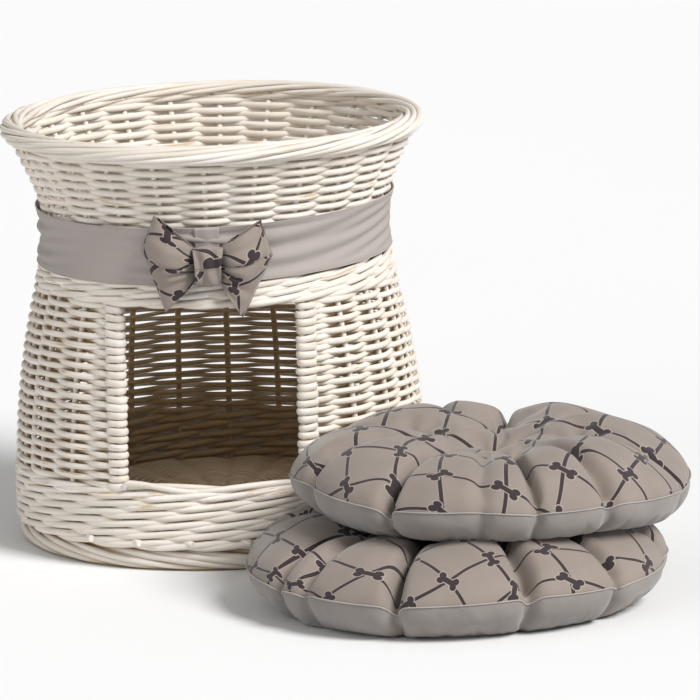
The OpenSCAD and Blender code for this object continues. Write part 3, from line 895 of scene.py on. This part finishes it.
class BASKET_OT_stakes(Step, bpy.types.Operator):
    """Sets the upright stakes"""
    bl_idname = "basket.stakes"
    bl_label = "Stakes"

    def execute(self, context):
        step = TURN / context.scene.basket_weave.stake_count
        for seed, word, first, last, z0, z1 in (
            (31, "side_stake", 3, 21, FOOT_TOP, WALL_TOP),
            (32, "sill_stake", -1, 1, FOOT_TOP, SILL_LOW),
            (33, "bowl_front_stake", -2, 2, DOOR_TOP, WALL_TOP),
        ):
            upright(Rods(seed), np.arange(first, last + 1) * step, z0, z1).build(
                word + "_rods", [word + "s"], finish("whitewashed_willow"), slot="willow_stakes")
        return {"FINISHED"}


class BASKET_OT_doorway(Step, bpy.types.Operator):
    """Sets the door posts, wraps them and twists the border along the sill"""
    bl_idname = "basket.doorway"
    bl_label = "Doorway"

    def execute(self, context):
        s = context.scene.basket_weave
        for side, word, seed in ((-1, "left", 41), (1, "right", 42)):
            node = "door_post_" + word
            rods = Rods(seed)
            z = np.linspace(FOOT_TOP, DOOR_TOP, 30)[None]
            x = side * (POST_X + np.array([-1, 1])[:, None] * s.stake_d * 0.54) + 0 * z
            y = -np.sqrt(wall_mid(z) ** 2 - x ** 2)
            paths = np.stack([x, y, z + 0 * x], -1)
            rods.add(paths, s.stake_d / 2, radial(paths), ROD_SIDES, wash=0.9)
            rods.build(node + "_rods", [node], finish("whitewashed_willow"), slot="willow_stakes")
            post_wraps(Rods(seed + 10), side).build(
                "door_wrap_" + word + "_turns", ["door_wrap_" + word], finish("border_willow"),
                slot="willow_wall")
        sill_rods(Rods(45)).build("sill_border_rods", ["sill_border"], finish("border_willow"),
                                  slot="willow_border")
        return {"FINISHED"}


def post_wraps(rods, side):
    """Flat turns stacked up a post. Each turn is a closed oval round the post's two rods,
    and its rod is pressed flat: twice as tall as it is thick."""
    s = bpy.context.scene.basket_weave
    z0, z1 = SILL_LOW + 3 * MM, DOOR_TOP - 1 * MM
    count = int((z1 - z0) / s.wrap_pitch)
    pitch = (z1 - z0) / count
    rng = rods.rng
    z = z0 + (np.arange(count)[:, None] + 0.5) * pitch
    t = np.linspace(0, TURN, 28, endpoint=False)[None]
    half = POST_HALF - 2.2 * MM + rng.uniform(-1.0, 1.0, (count, 1)) * MM
    across = half * squared(np.cos(t), 0.7)
    out = 5.6 * MM * squared(np.sin(t), 0.8)
    centre_x = side * POST_X
    angle = np.arcsin(centre_x / wall_mid(z))
    tilt = rng.uniform(-0.06, 0.12, (count, 1))
    base = wall_mid(z) + out
    height = z + across * tilt * side
    x = base * np.sin(angle) + across * np.cos(angle)
    y = -base * np.cos(angle) + across * np.sin(angle)
    paths = np.stack([x, y, height], -1)[:, ::-1]
    half_tall = 0.5 * pitch * rng.uniform(0.86, 1.04, (count, 1))
    return rods.add(paths, half_tall, (0, 0, 1), 10, closed=True, flat=0.62, wash=0.95)


def sill_rods(rods):
    """Two rods twisted along the sill, with a loop that arches up at the left end."""
    s = bpy.context.scene.basket_weave
    n = 90
    t = np.linspace(0, 1, n)[None]
    half = door_angle(SILL_Z, DOOR_HALF + 4 * MM)
    strand = np.array([0, 1])[:, None]
    a = -half + 2 * half * t
    turn = TURN * 0.85 * t + strand * np.pi + 0.5
    z = SILL_Z - 5.4 * MM + 3.2 * MM * np.sin(turn)
    r = wall_mid(z) + 4.4 * MM * np.cos(turn)
    paths = polar(r, a, z)
    rods.add(paths, 3.5 * MM, radial(paths), 10, wash=0.97)
    t = np.linspace(0, 1, 60)[None]
    a = -half + 0.005 + (half * 1.05) * t
    rise = np.where(t < 0.06, smooth(t, -0.03, 0.06), 1 - smooth(t, 0.10, 0.75)) * 7.5 * MM
    z = SILL_Z - 6.5 * MM + rise
    r = wall_mid(z) + 7.5 * MM - 3.5 * MM * t
    paths = polar(r, a, z)
    return rods.add(paths, (3.6 - 1.0 * t) * MM, radial(paths), 10, wash=0.97)


class BASKET_OT_borders(Step, bpy.types.Operator):
    """Rolls the foot border and the rim border"""
    bl_idname = "basket.borders"
    bl_label = "Borders"

    def execute(self, context):
        s = context.scene.basket_weave
        rods = Rods(51)
        r, z = RIM_R - 13 * MM, (WALL_TOP + RIM_TOP) / 2
        core(rods, r, z, 7 * MM)
        border(rods, r, z, 13 * MM, 11 * MM, s.rim_d, s.rim_d * 0.72, 9, 1)
        rods.build("rim_border_rods", ["rim_border"], finish("border_willow"), slot="willow_border")
        rods = Rods(52)
        r, z = FOOT_R - 12 * MM, FOOT_TOP / 2
        core(rods, r, z, 7.5 * MM)
        border(rods, r, z, 12 * MM, 12 * MM, s.foot_d, s.foot_d * 0.80, 7, -1)
        rods.build("foot_border_rods", ["foot_border"], finish("border_willow"), slot="willow_border")
        return {"FINISHED"}


# ---------- cloth ----------

def cloth_object(name, points, faces, uv, nodes, material, body, thick=None, subdivide=0):
    """A sheet from points and faces, with the flat cut as its UV map in metres."""
    mesh = bpy.data.meshes.new(name)
    mesh.from_pydata(points.reshape(-1, 3).tolist(), [], faces.tolist())
    put_uv(mesh, "cut", uv.reshape(-1, 2))
    piece = finish_piece(name, mesh, nodes, material, body)
    if thick:
        solid = piece.modifiers.new("thickness", "SOLIDIFY")
        solid.thickness = thick
        solid.offset = 0
    if subdivide:
        sub = piece.modifiers.new("smooth", "SUBSURF")
        sub.levels = sub.render_levels = subdivide
    return piece


def band_creases(a, v):
    """Two sets of long creases round the band: sines of the way up, bent by sines of the
    angle, and each set strong on some stretches and faint on others."""
    long = np.sin(TURN * (v * 2.6 + 0.25 * np.sin(2 * a + 1) + 0.1 * np.sin(5 * a)))
    fine = np.sin(TURN * v * 4.3 + 4 * np.sin(3 * a))
    return (2.4 * MM * long * (0.5 + 0.5 * np.sin(3 * a + 0.7))
            + 1.5 * MM * fine * (0.5 + 0.5 * np.sin(5 * a + 2)))


class BASKET_OT_band(Step, bpy.types.Operator):
    """Stretches the grey band round the waist, with its hems"""
    bl_idname = "basket.band"
    bl_label = "Band"

    def execute(self, context):
        s = context.scene.basket_cloth
        rows, cols = 40, 384
        a = np.linspace(0, TURN, cols, endpoint=False)[None]
        v = np.linspace(0, 1, rows)[:, None]
        width = BAND_TOP - TRAY_Z
        z = TRAY_Z + v * width + s.band_tilt * np.sin(a) - 1.2 * MM * np.cos(2 * a + 0.6)
        edge = np.minimum(v, 1 - v) * width
        hem = 0.5 * MM * smooth(-edge, -7 * MM, -5.5 * MM)
        stitching = 0.35 * MM * bell(edge - 6 * MM, 0.8 * MM)
        creases = band_creases(a, v) * smooth(edge, 0, 10 * MM) * 0.8
        r = wall_out(z) + 2.6 * MM + creases + hem - stitching
        points = polar(r, a, z)
        uv = np.stack(np.broadcast_arrays(a * BAND_R, v * width), -1)
        band = cloth_object("waist_band_cloth", points, grid_faces(rows, cols, wrap=True), uv,
                            ["waist_band"], finish("grey_cotton"), "basket", s.cloth_t)
        rods = Rods(61)
        for row in (0, rows - 1):
            line = points[row][None] + radial(points[row])[None] * 0.2 * MM
            rods.add(line, 0.75 * MM, radial(line), 6, closed=True, wash=1.0)
        rods.build("waist_band_hems", [], finish("seam_cotton"), slot="grey_cotton")
        sew_strap(s.cloth_t, width)
        return {"FINISHED"}


def sew_strap(thick, width):
    """The plain strap that the bow is sewn over: a short piece of cloth down the band."""
    rows, cols = 24, 12
    a = np.radians(np.linspace(-4, 4, cols))[None]
    v = np.linspace(0, 1, rows)[:, None]
    z = TRAY_Z + 1 * MM + v * (width - 2 * MM)
    r = wall_out(z) + 4.4 * MM + 0.5 * MM * np.cos(a * 60)
    uv = np.stack(np.broadcast_arrays(a * BAND_R, v * width), -1)
    strap = cloth_object("bow_strap_cloth", polar(r, a, z), grid_faces(rows, cols), uv,
                         ["bow_strap"], finish("grey_cotton"), "basket", thick)


def on_wall(x, z, out):
    """A point of the bow: x is measured round the wall, z up, and out away from it."""
    base = np.maximum(wall_out(z), WAIST_R)
    return polar(base + 6 * MM + out, x / BOW_R, z)


# The outer edge of each loop: its lower tip, its middle and its upper tip, in millimetres
# sideways and up from the knot, and how far over the middle its main fold starts
LOOPS = {-1: ((-43, -50), (-71, 14), (-53, 54), -0.02), 1: ((34, -57), (70, 6), (57, 46), 0.16)}


def bow_loop(side):
    """One loop of the bow: front layer out from the knot, a fold at the outer edge, back
    layer home. Each point is mixed between the gathered inner edge and the fanned outer
    edge; the front bulges with the sine of the way out, and folds run out of the knot.
    Gives points, flat cut, rows and columns."""
    rows, cols = 72, 64
    up = np.linspace(-1, 1, rows)[:, None]
    along = np.linspace(0, 2, cols)[None]
    front = along < 1
    lower_tip, middle, upper_tip, crease = LOOPS[side]
    way = (up + 1) / 2
    bend = 0.52
    share = np.where(way < bend, way / bend, (way - bend) / (1 - bend))
    edge_x, edge_z = (
        np.where(way < bend, lower_tip[i] + (middle[i] - lower_tip[i]) * share,
                 middle[i] + (upper_tip[i] - middle[i]) * share) for i in (0, 1))
    q = np.sin(np.where(front, along, 2 - along) * np.pi / 2) ** 1.15
    arch = np.sin(np.pi * np.clip(q, 0, 1))
    x = side * 11 + (edge_x - side * 11) * q
    z = up * 15 + (edge_z - up * 15) * q ** 0.9
    # the main fold runs out from the knot; the cloth over it laps down across it
    over = up - crease - 0.10 * arch
    upper = np.clip(over / (1 - crease), 0, 1)
    under = np.clip(-over / (1 + crease), 0, 1)
    lobe = np.where(over > 0, np.sin(np.pi * upper ** 0.55) ** 0.8,
                    0.85 * np.sin(np.pi * under ** 0.62) ** 0.8)
    bulge = np.sin(np.pi * np.clip(q, 0, 1) ** 0.8 * 0.93) ** 0.8
    side_folds = 0.5 * bell(up + 0.62, 0.10) + 0.35 * bell(up - 0.60, 0.12)
    lap = np.where(over > 0, bell(over, 0.16), 0) * arch ** 0.7
    pinch = bell(up + 0.30 + 0.25 * q, 0.07) * bell(q - 0.30, 0.22)
    front_out = (5 + bulge * (8 + 15 * lobe) - 8 * side_folds * arch * (1 - 0.4 * q)
                 + 5 * lap - 7 * pinch)
    back_out = 1.5 + 1.5 * arch
    turned = smooth(q, 0.90, 1.0)
    out = np.where(front, front_out, back_out) * (1 - turned) + 4.5 * turned
    z = z - np.where(front & (over > 0), 10 * bell(over, 0.26) * arch, 0)
    points = on_wall(x * MM, BOW_Z + z * MM, out * MM)
    uv = np.stack(np.broadcast_arrays(along * 64 * MM, up * 56 * MM), -1)
    return points, uv, rows, cols


class BASKET_OT_bow(Step, bpy.types.Operator):
    """Folds the printed bow: two loops and the knot round them"""
    bl_idname = "basket.bow"
    bl_label = "Bow"

    def execute(self, context):
        t = context.scene.basket_cloth.cloth_t
        for side, word in ((-1, "left"), (1, "right")):
            points, uv, rows, cols = bow_loop(side)
            faces = grid_faces(rows, cols, flip=side > 0)
            uv = uv + (0.013 if side < 0 else 0.171, 0.03)
            piece = cloth_object("bow_loop_" + word + "_cloth", points, faces, uv,
                                 ["bow_loop_" + word], finish("bow_cotton"), "basket",
                                 t, 1)
        tie_knot(t)
        return {"FINISHED"}


def tie_knot(thick):
    """The knot: a short band that goes once round the bow's middle, on an oval with
    squared ends, with folds down its front that are a cosine of the way across."""
    rows, cols = 30, 64
    v = np.linspace(-1, 1, rows)[:, None]
    a = np.linspace(0, TURN, cols, endpoint=False)[None]
    up = (20 + 1.5 * np.cos(np.pi * v)) * squared(np.sin(a), 0.75)
    out = 15 + 13.5 * squared(np.cos(a), 0.8)
    fold = 2.0 * np.cos(v * 6 + 2.2 * np.sin(a)) * smooth(np.cos(a), -0.2, 0.5)
    x = v * (14 + 1.5 * np.sin(a)) * (1 - 0.10 * np.cos(a) ** 2) + 1.5
    points = on_wall(x * MM, BOW_Z + up * MM, (out + fold - 2.5 * v ** 4) * MM)
    uv = np.stack(np.broadcast_arrays(v * 13 * MM + 0.06, a * 15 * MM), -1)
    knot = cloth_object("bow_knot_cloth", points, grid_faces(rows, cols, wrap=True), uv,
                        ["bow_knot"], finish("bow_cotton"), "basket", thick, 1)


# ---------- cushions ----------

def disc_grid(n):
    """An even grid on a disc: a square's points moved so that its sides become a circle.
    Gives the distance from the middle, from 0 to 1, and the angle, of every point."""
    u, v = np.meshgrid(np.linspace(-1, 1, n), np.linspace(-1, 1, n))
    wide = np.abs(u) > np.abs(v)
    rho = np.where(wide, u, v)
    with np.errstate(divide="ignore", invalid="ignore"):
        phi = np.where(wide, np.pi / 4 * v / u, np.pi / 2 - np.pi / 4 * u / np.where(v == 0, 1, v))
    phi = np.where((u == 0) & (v == 0), 0, phi)
    x, y = rho * np.cos(phi), rho * np.sin(phi)
    return np.hypot(x, y), np.arctan2(x, -y)


def edge_order(n):
    """The grid's border points, once round."""
    k = np.arange(n * n).reshape(n, n)
    return np.concatenate([k[0, :-1], k[:-1, -1], k[-1, :0:-1], k[:0:-1, 0]])


def crown(share):
    """Height of the top panel, from 1 in the middle to 0 at the seam."""
    return np.maximum(1 - share ** 5, 0) ** 0.6


def pleat_pull(angle, pleats):
    """How hard the pleats gather the cloth at an angle: a sum of bells, one at each pleat."""
    pull = np.zeros_like(angle)
    for at, deep, wide in pleats:
        gap = np.abs((angle - np.radians(at) + np.pi) % TURN - np.pi)
        pull += deep * bell(gap, np.radians(wide))
    return pull


def scallop(angle, pleats):
    """Bulge of the edge between one pleat and the next: half a sine wave to a power."""
    order = np.sort([np.radians(at) % TURN for at, _, _ in pleats])
    order = np.concatenate([order, order[:1] + TURN])
    where = (angle - order[0]) % TURN + order[0]
    k = np.clip(np.searchsorted(order, where, side="right") - 1, 0, len(order) - 2)
    t = (where - order[k]) / (order[k + 1] - order[k])
    return np.sin(np.pi * np.clip(t, 0, 1)) ** 0.7


def cushion_top(share, ang, radius, pleats, tufts, crowned, waves):
    """The top panel as height over its sideways place: a crown, lobes between the pleats, a
    valley along each pleat, small folds by the seam and in the middle, and a star-shaped
    hollow round each tuft. Gives its points and its flat cut."""
    lobes, pull = scallop(ang, pleats), pleat_pull(ang, pleats)
    rise = (CUSHION_T - SEAM_RISE) * crowned
    r = share * radius * (1 - 0.035 * pull * smooth(share, 0.5, 1.0) - 0.012 + 0.012 * lobes)
    height = SEAM_RISE + rise * crown(share)
    height += 7 * MM * (lobes - 0.6) * smooth(share, 0.15, 0.60) * (1 - smooth(share, 0.75, 1.0))
    height -= 19 * MM * pull * smooth(share, 0.34, 0.62) * (1 - smooth(share, 0.92, 1.02))
    height -= 6 * MM * pull * smooth(share, 0.85, 0.97)
    height -= 13 * MM * (1 - smooth(share, 0.05, 0.55))
    by_seam = smooth(share, 0.80, 0.93) * (1 - smooth(share, 0.97, 1.0))
    height += 2.6 * MM * waves(ang, 0) * by_seam
    in_middle = smooth(share, 0.15, 0.5) * (1 - smooth(share, 0.6, 0.9))
    height += 2.0 * MM * waves(ang + 0.5 * share, 1) * in_middle
    x, y = r * np.sin(ang), -r * np.cos(ang)
    for tx, ty, deep in tufts:
        away = np.hypot(x - tx, y - ty)
        rays = np.sin(7 * np.arctan2(y - ty, x - tx) + 40 * tx)
        star = 1 + 0.35 * rays * bell(away, 35 * MM)
        height -= deep * star * (0.55 * bell(away, 34 * MM) + 0.45 * bell(away, 11 * MM))
    top = np.stack([x, y, height], -1).reshape(-1, 3)
    flat_r = share * radius + rise * (1 - crown(share))
    return top, np.stack([flat_r * np.sin(ang), -flat_r * np.cos(ang)], -1).reshape(-1, 2)


def cushion_side(top_rim, rim_ang, radius, pleats, waves):
    """The gusset from the seam down to the flat underside: out is a sine and up is one
    less a cosine of the same quarter turn, with folds under each pleat. Gives its rows of
    points and its flat cut."""
    q = np.linspace(1, 0, SIDE_ROWS + 1)[1:, None]
    out = np.sin(q * np.pi / 2) ** 1.25
    up = (1 - np.cos(q * np.pi / 2)) ** 0.80
    swell = np.sin(q * np.pi)
    pull = pleat_pull(rim_ang, pleats)[None]
    rim_r = radius * (1 - 0.035 * pull - 0.012 + 0.012 * scallop(rim_ang, pleats)[None])
    fold = 1 - (0.022 * pull + 0.007 * waves(rim_ang, 2)[None]) * swell
    r = (rim_r - 38 * MM * (1 - out) + 2 * MM * swell) * fold
    side = np.stack([r * np.sin(rim_ang), -r * np.cos(rim_ang), top_rim[:, 2][None] * up], -1)
    return side, np.stack(np.broadcast_arrays(rim_ang * radius, q * 50 * MM), -1)


def cushion_shape(centre, z0, radius, pleats, tufts, crowned, seed, n=96):
    """A stuffed round cushion as one closed skin: the top panel, the gusset and the flat
    underside. Gives points, faces, flat cut, which part each face is, which points are
    held down, and which points are the seam."""
    rho, ang = disc_grid(n)
    share = 0.45 * rho + 0.55 * np.sin(rho * np.pi / 2)
    steps = 721
    ripple = noise_line(np.random.default_rng(seed), 3, steps, (9, 14, 23, 31, 43, 57))

    def waves(angle, line):
        """A fixed random line of small folds, read at an angle."""
        return np.interp(angle % TURN, np.linspace(0, TURN, steps), ripple[line])

    top, cut = cushion_top(share, ang, radius, pleats, tufts, crowned, waves)
    rim = edge_order(n)
    m, count = len(rim), n * n
    side, side_cut = cushion_side(top[rim], ang.reshape(-1)[rim], radius, pleats, waves)
    inner = side[-1]
    inner_r = np.hypot(inner[:, 0], inner[:, 1]).mean()
    under = polar(share * inner_r, ang, 0.0).reshape(-1, 3)
    keep = np.ones(count, bool)
    keep[rim] = False
    points = np.concatenate([top, side.reshape(-1, 3), under[keep]])
    side_end = count + SIDE_ROWS * m
    under_index = np.empty(count, int)
    under_index[keep] = side_end + np.arange(keep.sum())
    under_index[rim] = side_end - m + np.arange(m)
    rings = np.concatenate([rim[None], np.arange(count, side_end).reshape(SIDE_ROWS, m)])
    a, b = rings[:-1], rings[1:]
    top_faces = grid_faces(n, n)
    side_faces = np.stack([a, b, np.roll(b, -1, 1), np.roll(a, -1, 1)], -1).reshape(-1, 4)
    under_faces = under_index[grid_faces(n, n, flip=True)]
    faces = np.concatenate([top_faces, side_faces, under_faces])
    kind = (np.arange(len(faces)) >= len(top_faces)).astype(int)
    uv = np.concatenate([cut, side_cut.reshape(-1, 2), points[side_end:, :2]])
    points = points + np.array([centre[0], centre[1], z0])
    # the cloth is held down at each tuft, at the foot of the gusset and all underneath
    held = np.zeros(len(points))
    for tx, ty, _ in tufts:
        away = np.hypot(points[:count, 0] - centre[0] - tx, points[:count, 1] - centre[1] - ty)
        held[:count] = np.maximum(held[:count], away < 5.5 * MM)
    held[side_end - 2 * m:] = 1
    return points, faces, uv, kind, held, rim


def puffed(points, faces, held, frames, pressure, cap, grow):
    """Blows the skin up as cloth with its held points pinned, and gives the new points,
    none moved further than cap."""
    mesh = bpy.data.meshes.new("puff")
    mesh.from_pydata(points.tolist(), [], faces.tolist())
    skin = bpy.data.objects.new("puff", mesh)
    scene = bpy.context.scene
    scene.collection.objects.link(skin)
    group = skin.vertex_groups.new(name="held")
    group.add(np.flatnonzero(held > 0.5).tolist(), 1.0, "REPLACE")
    cloth = skin.modifiers.new("cloth", "CLOTH")
    c = cloth.settings
    c.vertex_group_mass = "held"
    c.quality = 6
    c.mass = 0.25
    c.tension_stiffness = c.compression_stiffness = 14
    c.shear_stiffness = 6
    c.bending_stiffness = 0.35
    c.use_pressure = True
    c.uniform_pressure_force = pressure
    c.shrink_min = c.shrink_max = -grow
    c.effector_weights.gravity = 0
    cloth.point_cache.frame_start, cloth.point_cache.frame_end = 1, frames
    for f in range(1, frames + 1):
        scene.frame_set(f)
    graph = bpy.context.evaluated_depsgraph_get()
    done = skin.evaluated_get(graph).to_mesh()
    moved = np.empty(len(points) * 3, np.float32)
    done.vertices.foreach_get("co", moved)
    move = moved.reshape(-1, 3).astype(float) - points
    far = np.linalg.norm(move, axis=1, keepdims=True)
    move *= np.minimum(1, cap / np.maximum(far, 1e-9))
    scene.frame_set(1)
    bpy.data.objects.remove(skin)
    return points + np.nan_to_num(move)


# Each pleat is its angle in degrees, how hard it gathers the cloth and half its width in
# degrees. Every second pleat ends in a tuft.
CUSHIONS = {
    "lower": {
        "centre": LOWER_C, "z": LOWER_Z, "radius": LOWER_R - 1 * MM, "seed": 1,
        "pleats": [(-17, 1.35, 2.6), (21, 1.2, 2.4), (-58, 1.0, 2.6), (-46, 0.5, 2.2), (50, 0.6, 2.8),
                   (84, 0.8, 3.0), (128, 0.8, 3.0), (171, 0.7, 3.4), (216, 0.9, 3.0), (262, 0.7, 3.2)],
        "print_turn": 0.3, "crowned": 0.97,
    },
    "upper": {
        "centre": UPPER_C, "z": UPPER_Z, "radius": UPPER_R - 1 * MM, "seed": 2,
        "pleats": [(-31, 1.5, 2.6), (-2, 0.35, 2.4), (14, 0.7, 2.4), (38, 0.9, 2.6), (76, 0.6, 3.0),
                   (120, 0.7, 3.0), (172, 1.0, 3.0), (203, 0.6, 3.2), (247, 0.8, 3.0), (292, 0.7, 3.4)],
        "print_turn": 1.1, "crowned": 0.86,
    },
}


class BASKET_OT_cushions(Step, bpy.types.Operator):
    """Sews and stuffs the two cushions, with their seams and tufts"""
    bl_idname = "basket.cushions"
    bl_label = "Cushions"

    def execute(self, context):
        s = context.scene.basket_cloth
        below = None
        for word, spec in CUSHIONS.items():
            centre, z0 = spec["centre"], spec["z"]
            tufts = tuft_places(spec)
            points, faces, uv, kind, held, rim = cushion_shape(
                centre, z0, spec["radius"], spec["pleats"], tufts, spec["crowned"], spec["seed"] + 5)
            points = puffed(points, faces, held, 20, 3.4, s.puff, 0.06)
            points[:, 2] = np.maximum(points[:, 2], z0)
            if below:
                points = settle(points, below["centre"], below["radius"])
            below = spec
            c, sn = np.cos(spec["print_turn"]), np.sin(spec["print_turn"])
            uv = uv @ np.array([[c, sn], [-sn, c]]) + 0.7
            nodes = [word + "_" + part for part in ("top_panel", "gusset", "bottom_panel", "filling")]
            piece = cloth_object(word + "_cushion_pad", points, faces, uv, nodes,
                                 finish("printed_cotton"), word + "_cushion", None, 1)
            # the gusset faces take the darker grey, which is painted shade
            piece.data.materials.append(finish("gusset_painted_shade_cotton"))
            piece.data.polygons.foreach_set("material_index", kind.astype(np.int32))
            rods = Rods(70 + spec["seed"])
            line = points[rim][None]
            out = radial(line - centre * (1, 1, 0))
            rods.add(line + out * 0.5 * MM, s.seam_d / 2, out, 6, closed=True, wash=1.0)
            rods.build(word + "_cushion_seam", [], finish("seam_cotton"), word + "_cushion", "print_cotton")
            tuft_stitches(Rods(80 + spec["seed"]), points, centre, z0, tufts).build(
                word + "_cushion_tufts", [word + "_tufts"], finish("tuft_thread"),
                word + "_cushion", "tuft_thread")
        return {"FINISHED"}


def tuft_places(spec):
    """The tufts from a cushion's middle: sideways, forward and how deep. One is in the
    middle, and one lies along every second pleat."""
    rng = np.random.default_rng(spec["seed"])
    ring = np.radians([pleat[0] for pleat in spec["pleats"][::2]])
    reach = TUFT_R * rng.uniform(0.9, 1.15, len(ring))
    return [(0.0, 0.0, 24 * MM)] + [
        (r * np.sin(a), -r * np.cos(a), 20 * MM) for r, a in zip(reach, ring)]


def tuft_stitches(rods, points, centre, z0, tufts):
    """A short arched stitch on the cloth at the bottom of each tuft's hollow."""
    for tx, ty, _ in tufts:
        away = np.hypot(points[:, 0] - centre[0] - tx, points[:, 1] - centre[1] - ty)
        p = points[np.argmin(away + (points[:, 2] < z0 + SEAM_RISE * 0.7))]
        t = np.linspace(0, 1, 9)[None]
        stitch = np.stack([p[0] + (t - 0.5) * 5 * MM, p[1] + 0 * t,
                           p[2] + 0.9 * MM * np.sin(t * np.pi)], -1)
        rods.add(stitch, 0.8 * MM, (0, 0, 1), 6, wash=1.0)
    return rods


def settle(points, centre, radius):
    """Lets the upper cushion's edge droop over the rounded shoulder of the lower one: a
    point goes down by a smooth rise of its distance from the lower one's middle."""
    share = np.clip(np.hypot(points[:, 0] - centre[0], points[:, 1] - centre[1]) / radius, 0, 1.2)
    drop = np.zeros_like(points)
    drop[:, 2] = 11.25 * MM * smooth(share, 0.70, 1.05)
    return points - drop


# ---------- the add-on ----------

STEPS = (BASKET_OT_stage, BASKET_OT_floors, BASKET_OT_stakes, BASKET_OT_walls, BASKET_OT_doorway,
         BASKET_OT_borders, BASKET_OT_band, BASKET_OT_bow, BASKET_OT_cushions)


class BASKET_PT_panel(bpy.types.Panel):
    """Lists the basket's sizes, colours and steps"""
    bl_idname = "BASKET_PT_panel"
    bl_label = "Wicker Pet Basket"
    bl_space_type = "VIEW_3D"
    bl_region_type = "UI"
    bl_category = "Basket"

    def draw(self, context):
        for name, _ in GROUPS:
            group = getattr(context.scene, name)
            box = self.layout.box()
            for key in group.__annotations__:
                box.prop(group, key)
        for step in STEPS:
            self.layout.operator(step.bl_idname)


GROUPS = (("basket_weave", BasketWeave), ("basket_cloth", BasketCloth), ("basket_colours", BasketColours))


def register():
    for key, group in GROUPS:
        bpy.utils.register_class(group)
        setattr(bpy.types.Scene, key, bpy.props.PointerProperty(type=group))
    for step in STEPS:
        bpy.utils.register_class(step)
    bpy.utils.register_class(BASKET_PT_panel)


def unregister():
    bpy.utils.unregister_class(BASKET_PT_panel)
    for step in reversed(STEPS):
        bpy.utils.unregister_class(step)
    for key, group in reversed(GROUPS):
        delattr(bpy.types.Scene, key)
        bpy.utils.unregister_class(group)


def main():
    register()
    for step in STEPS:
        place, word = step.bl_idname.split(".")
        getattr(getattr(bpy.ops, place), word)()


if __name__ == "__main__":
    main()
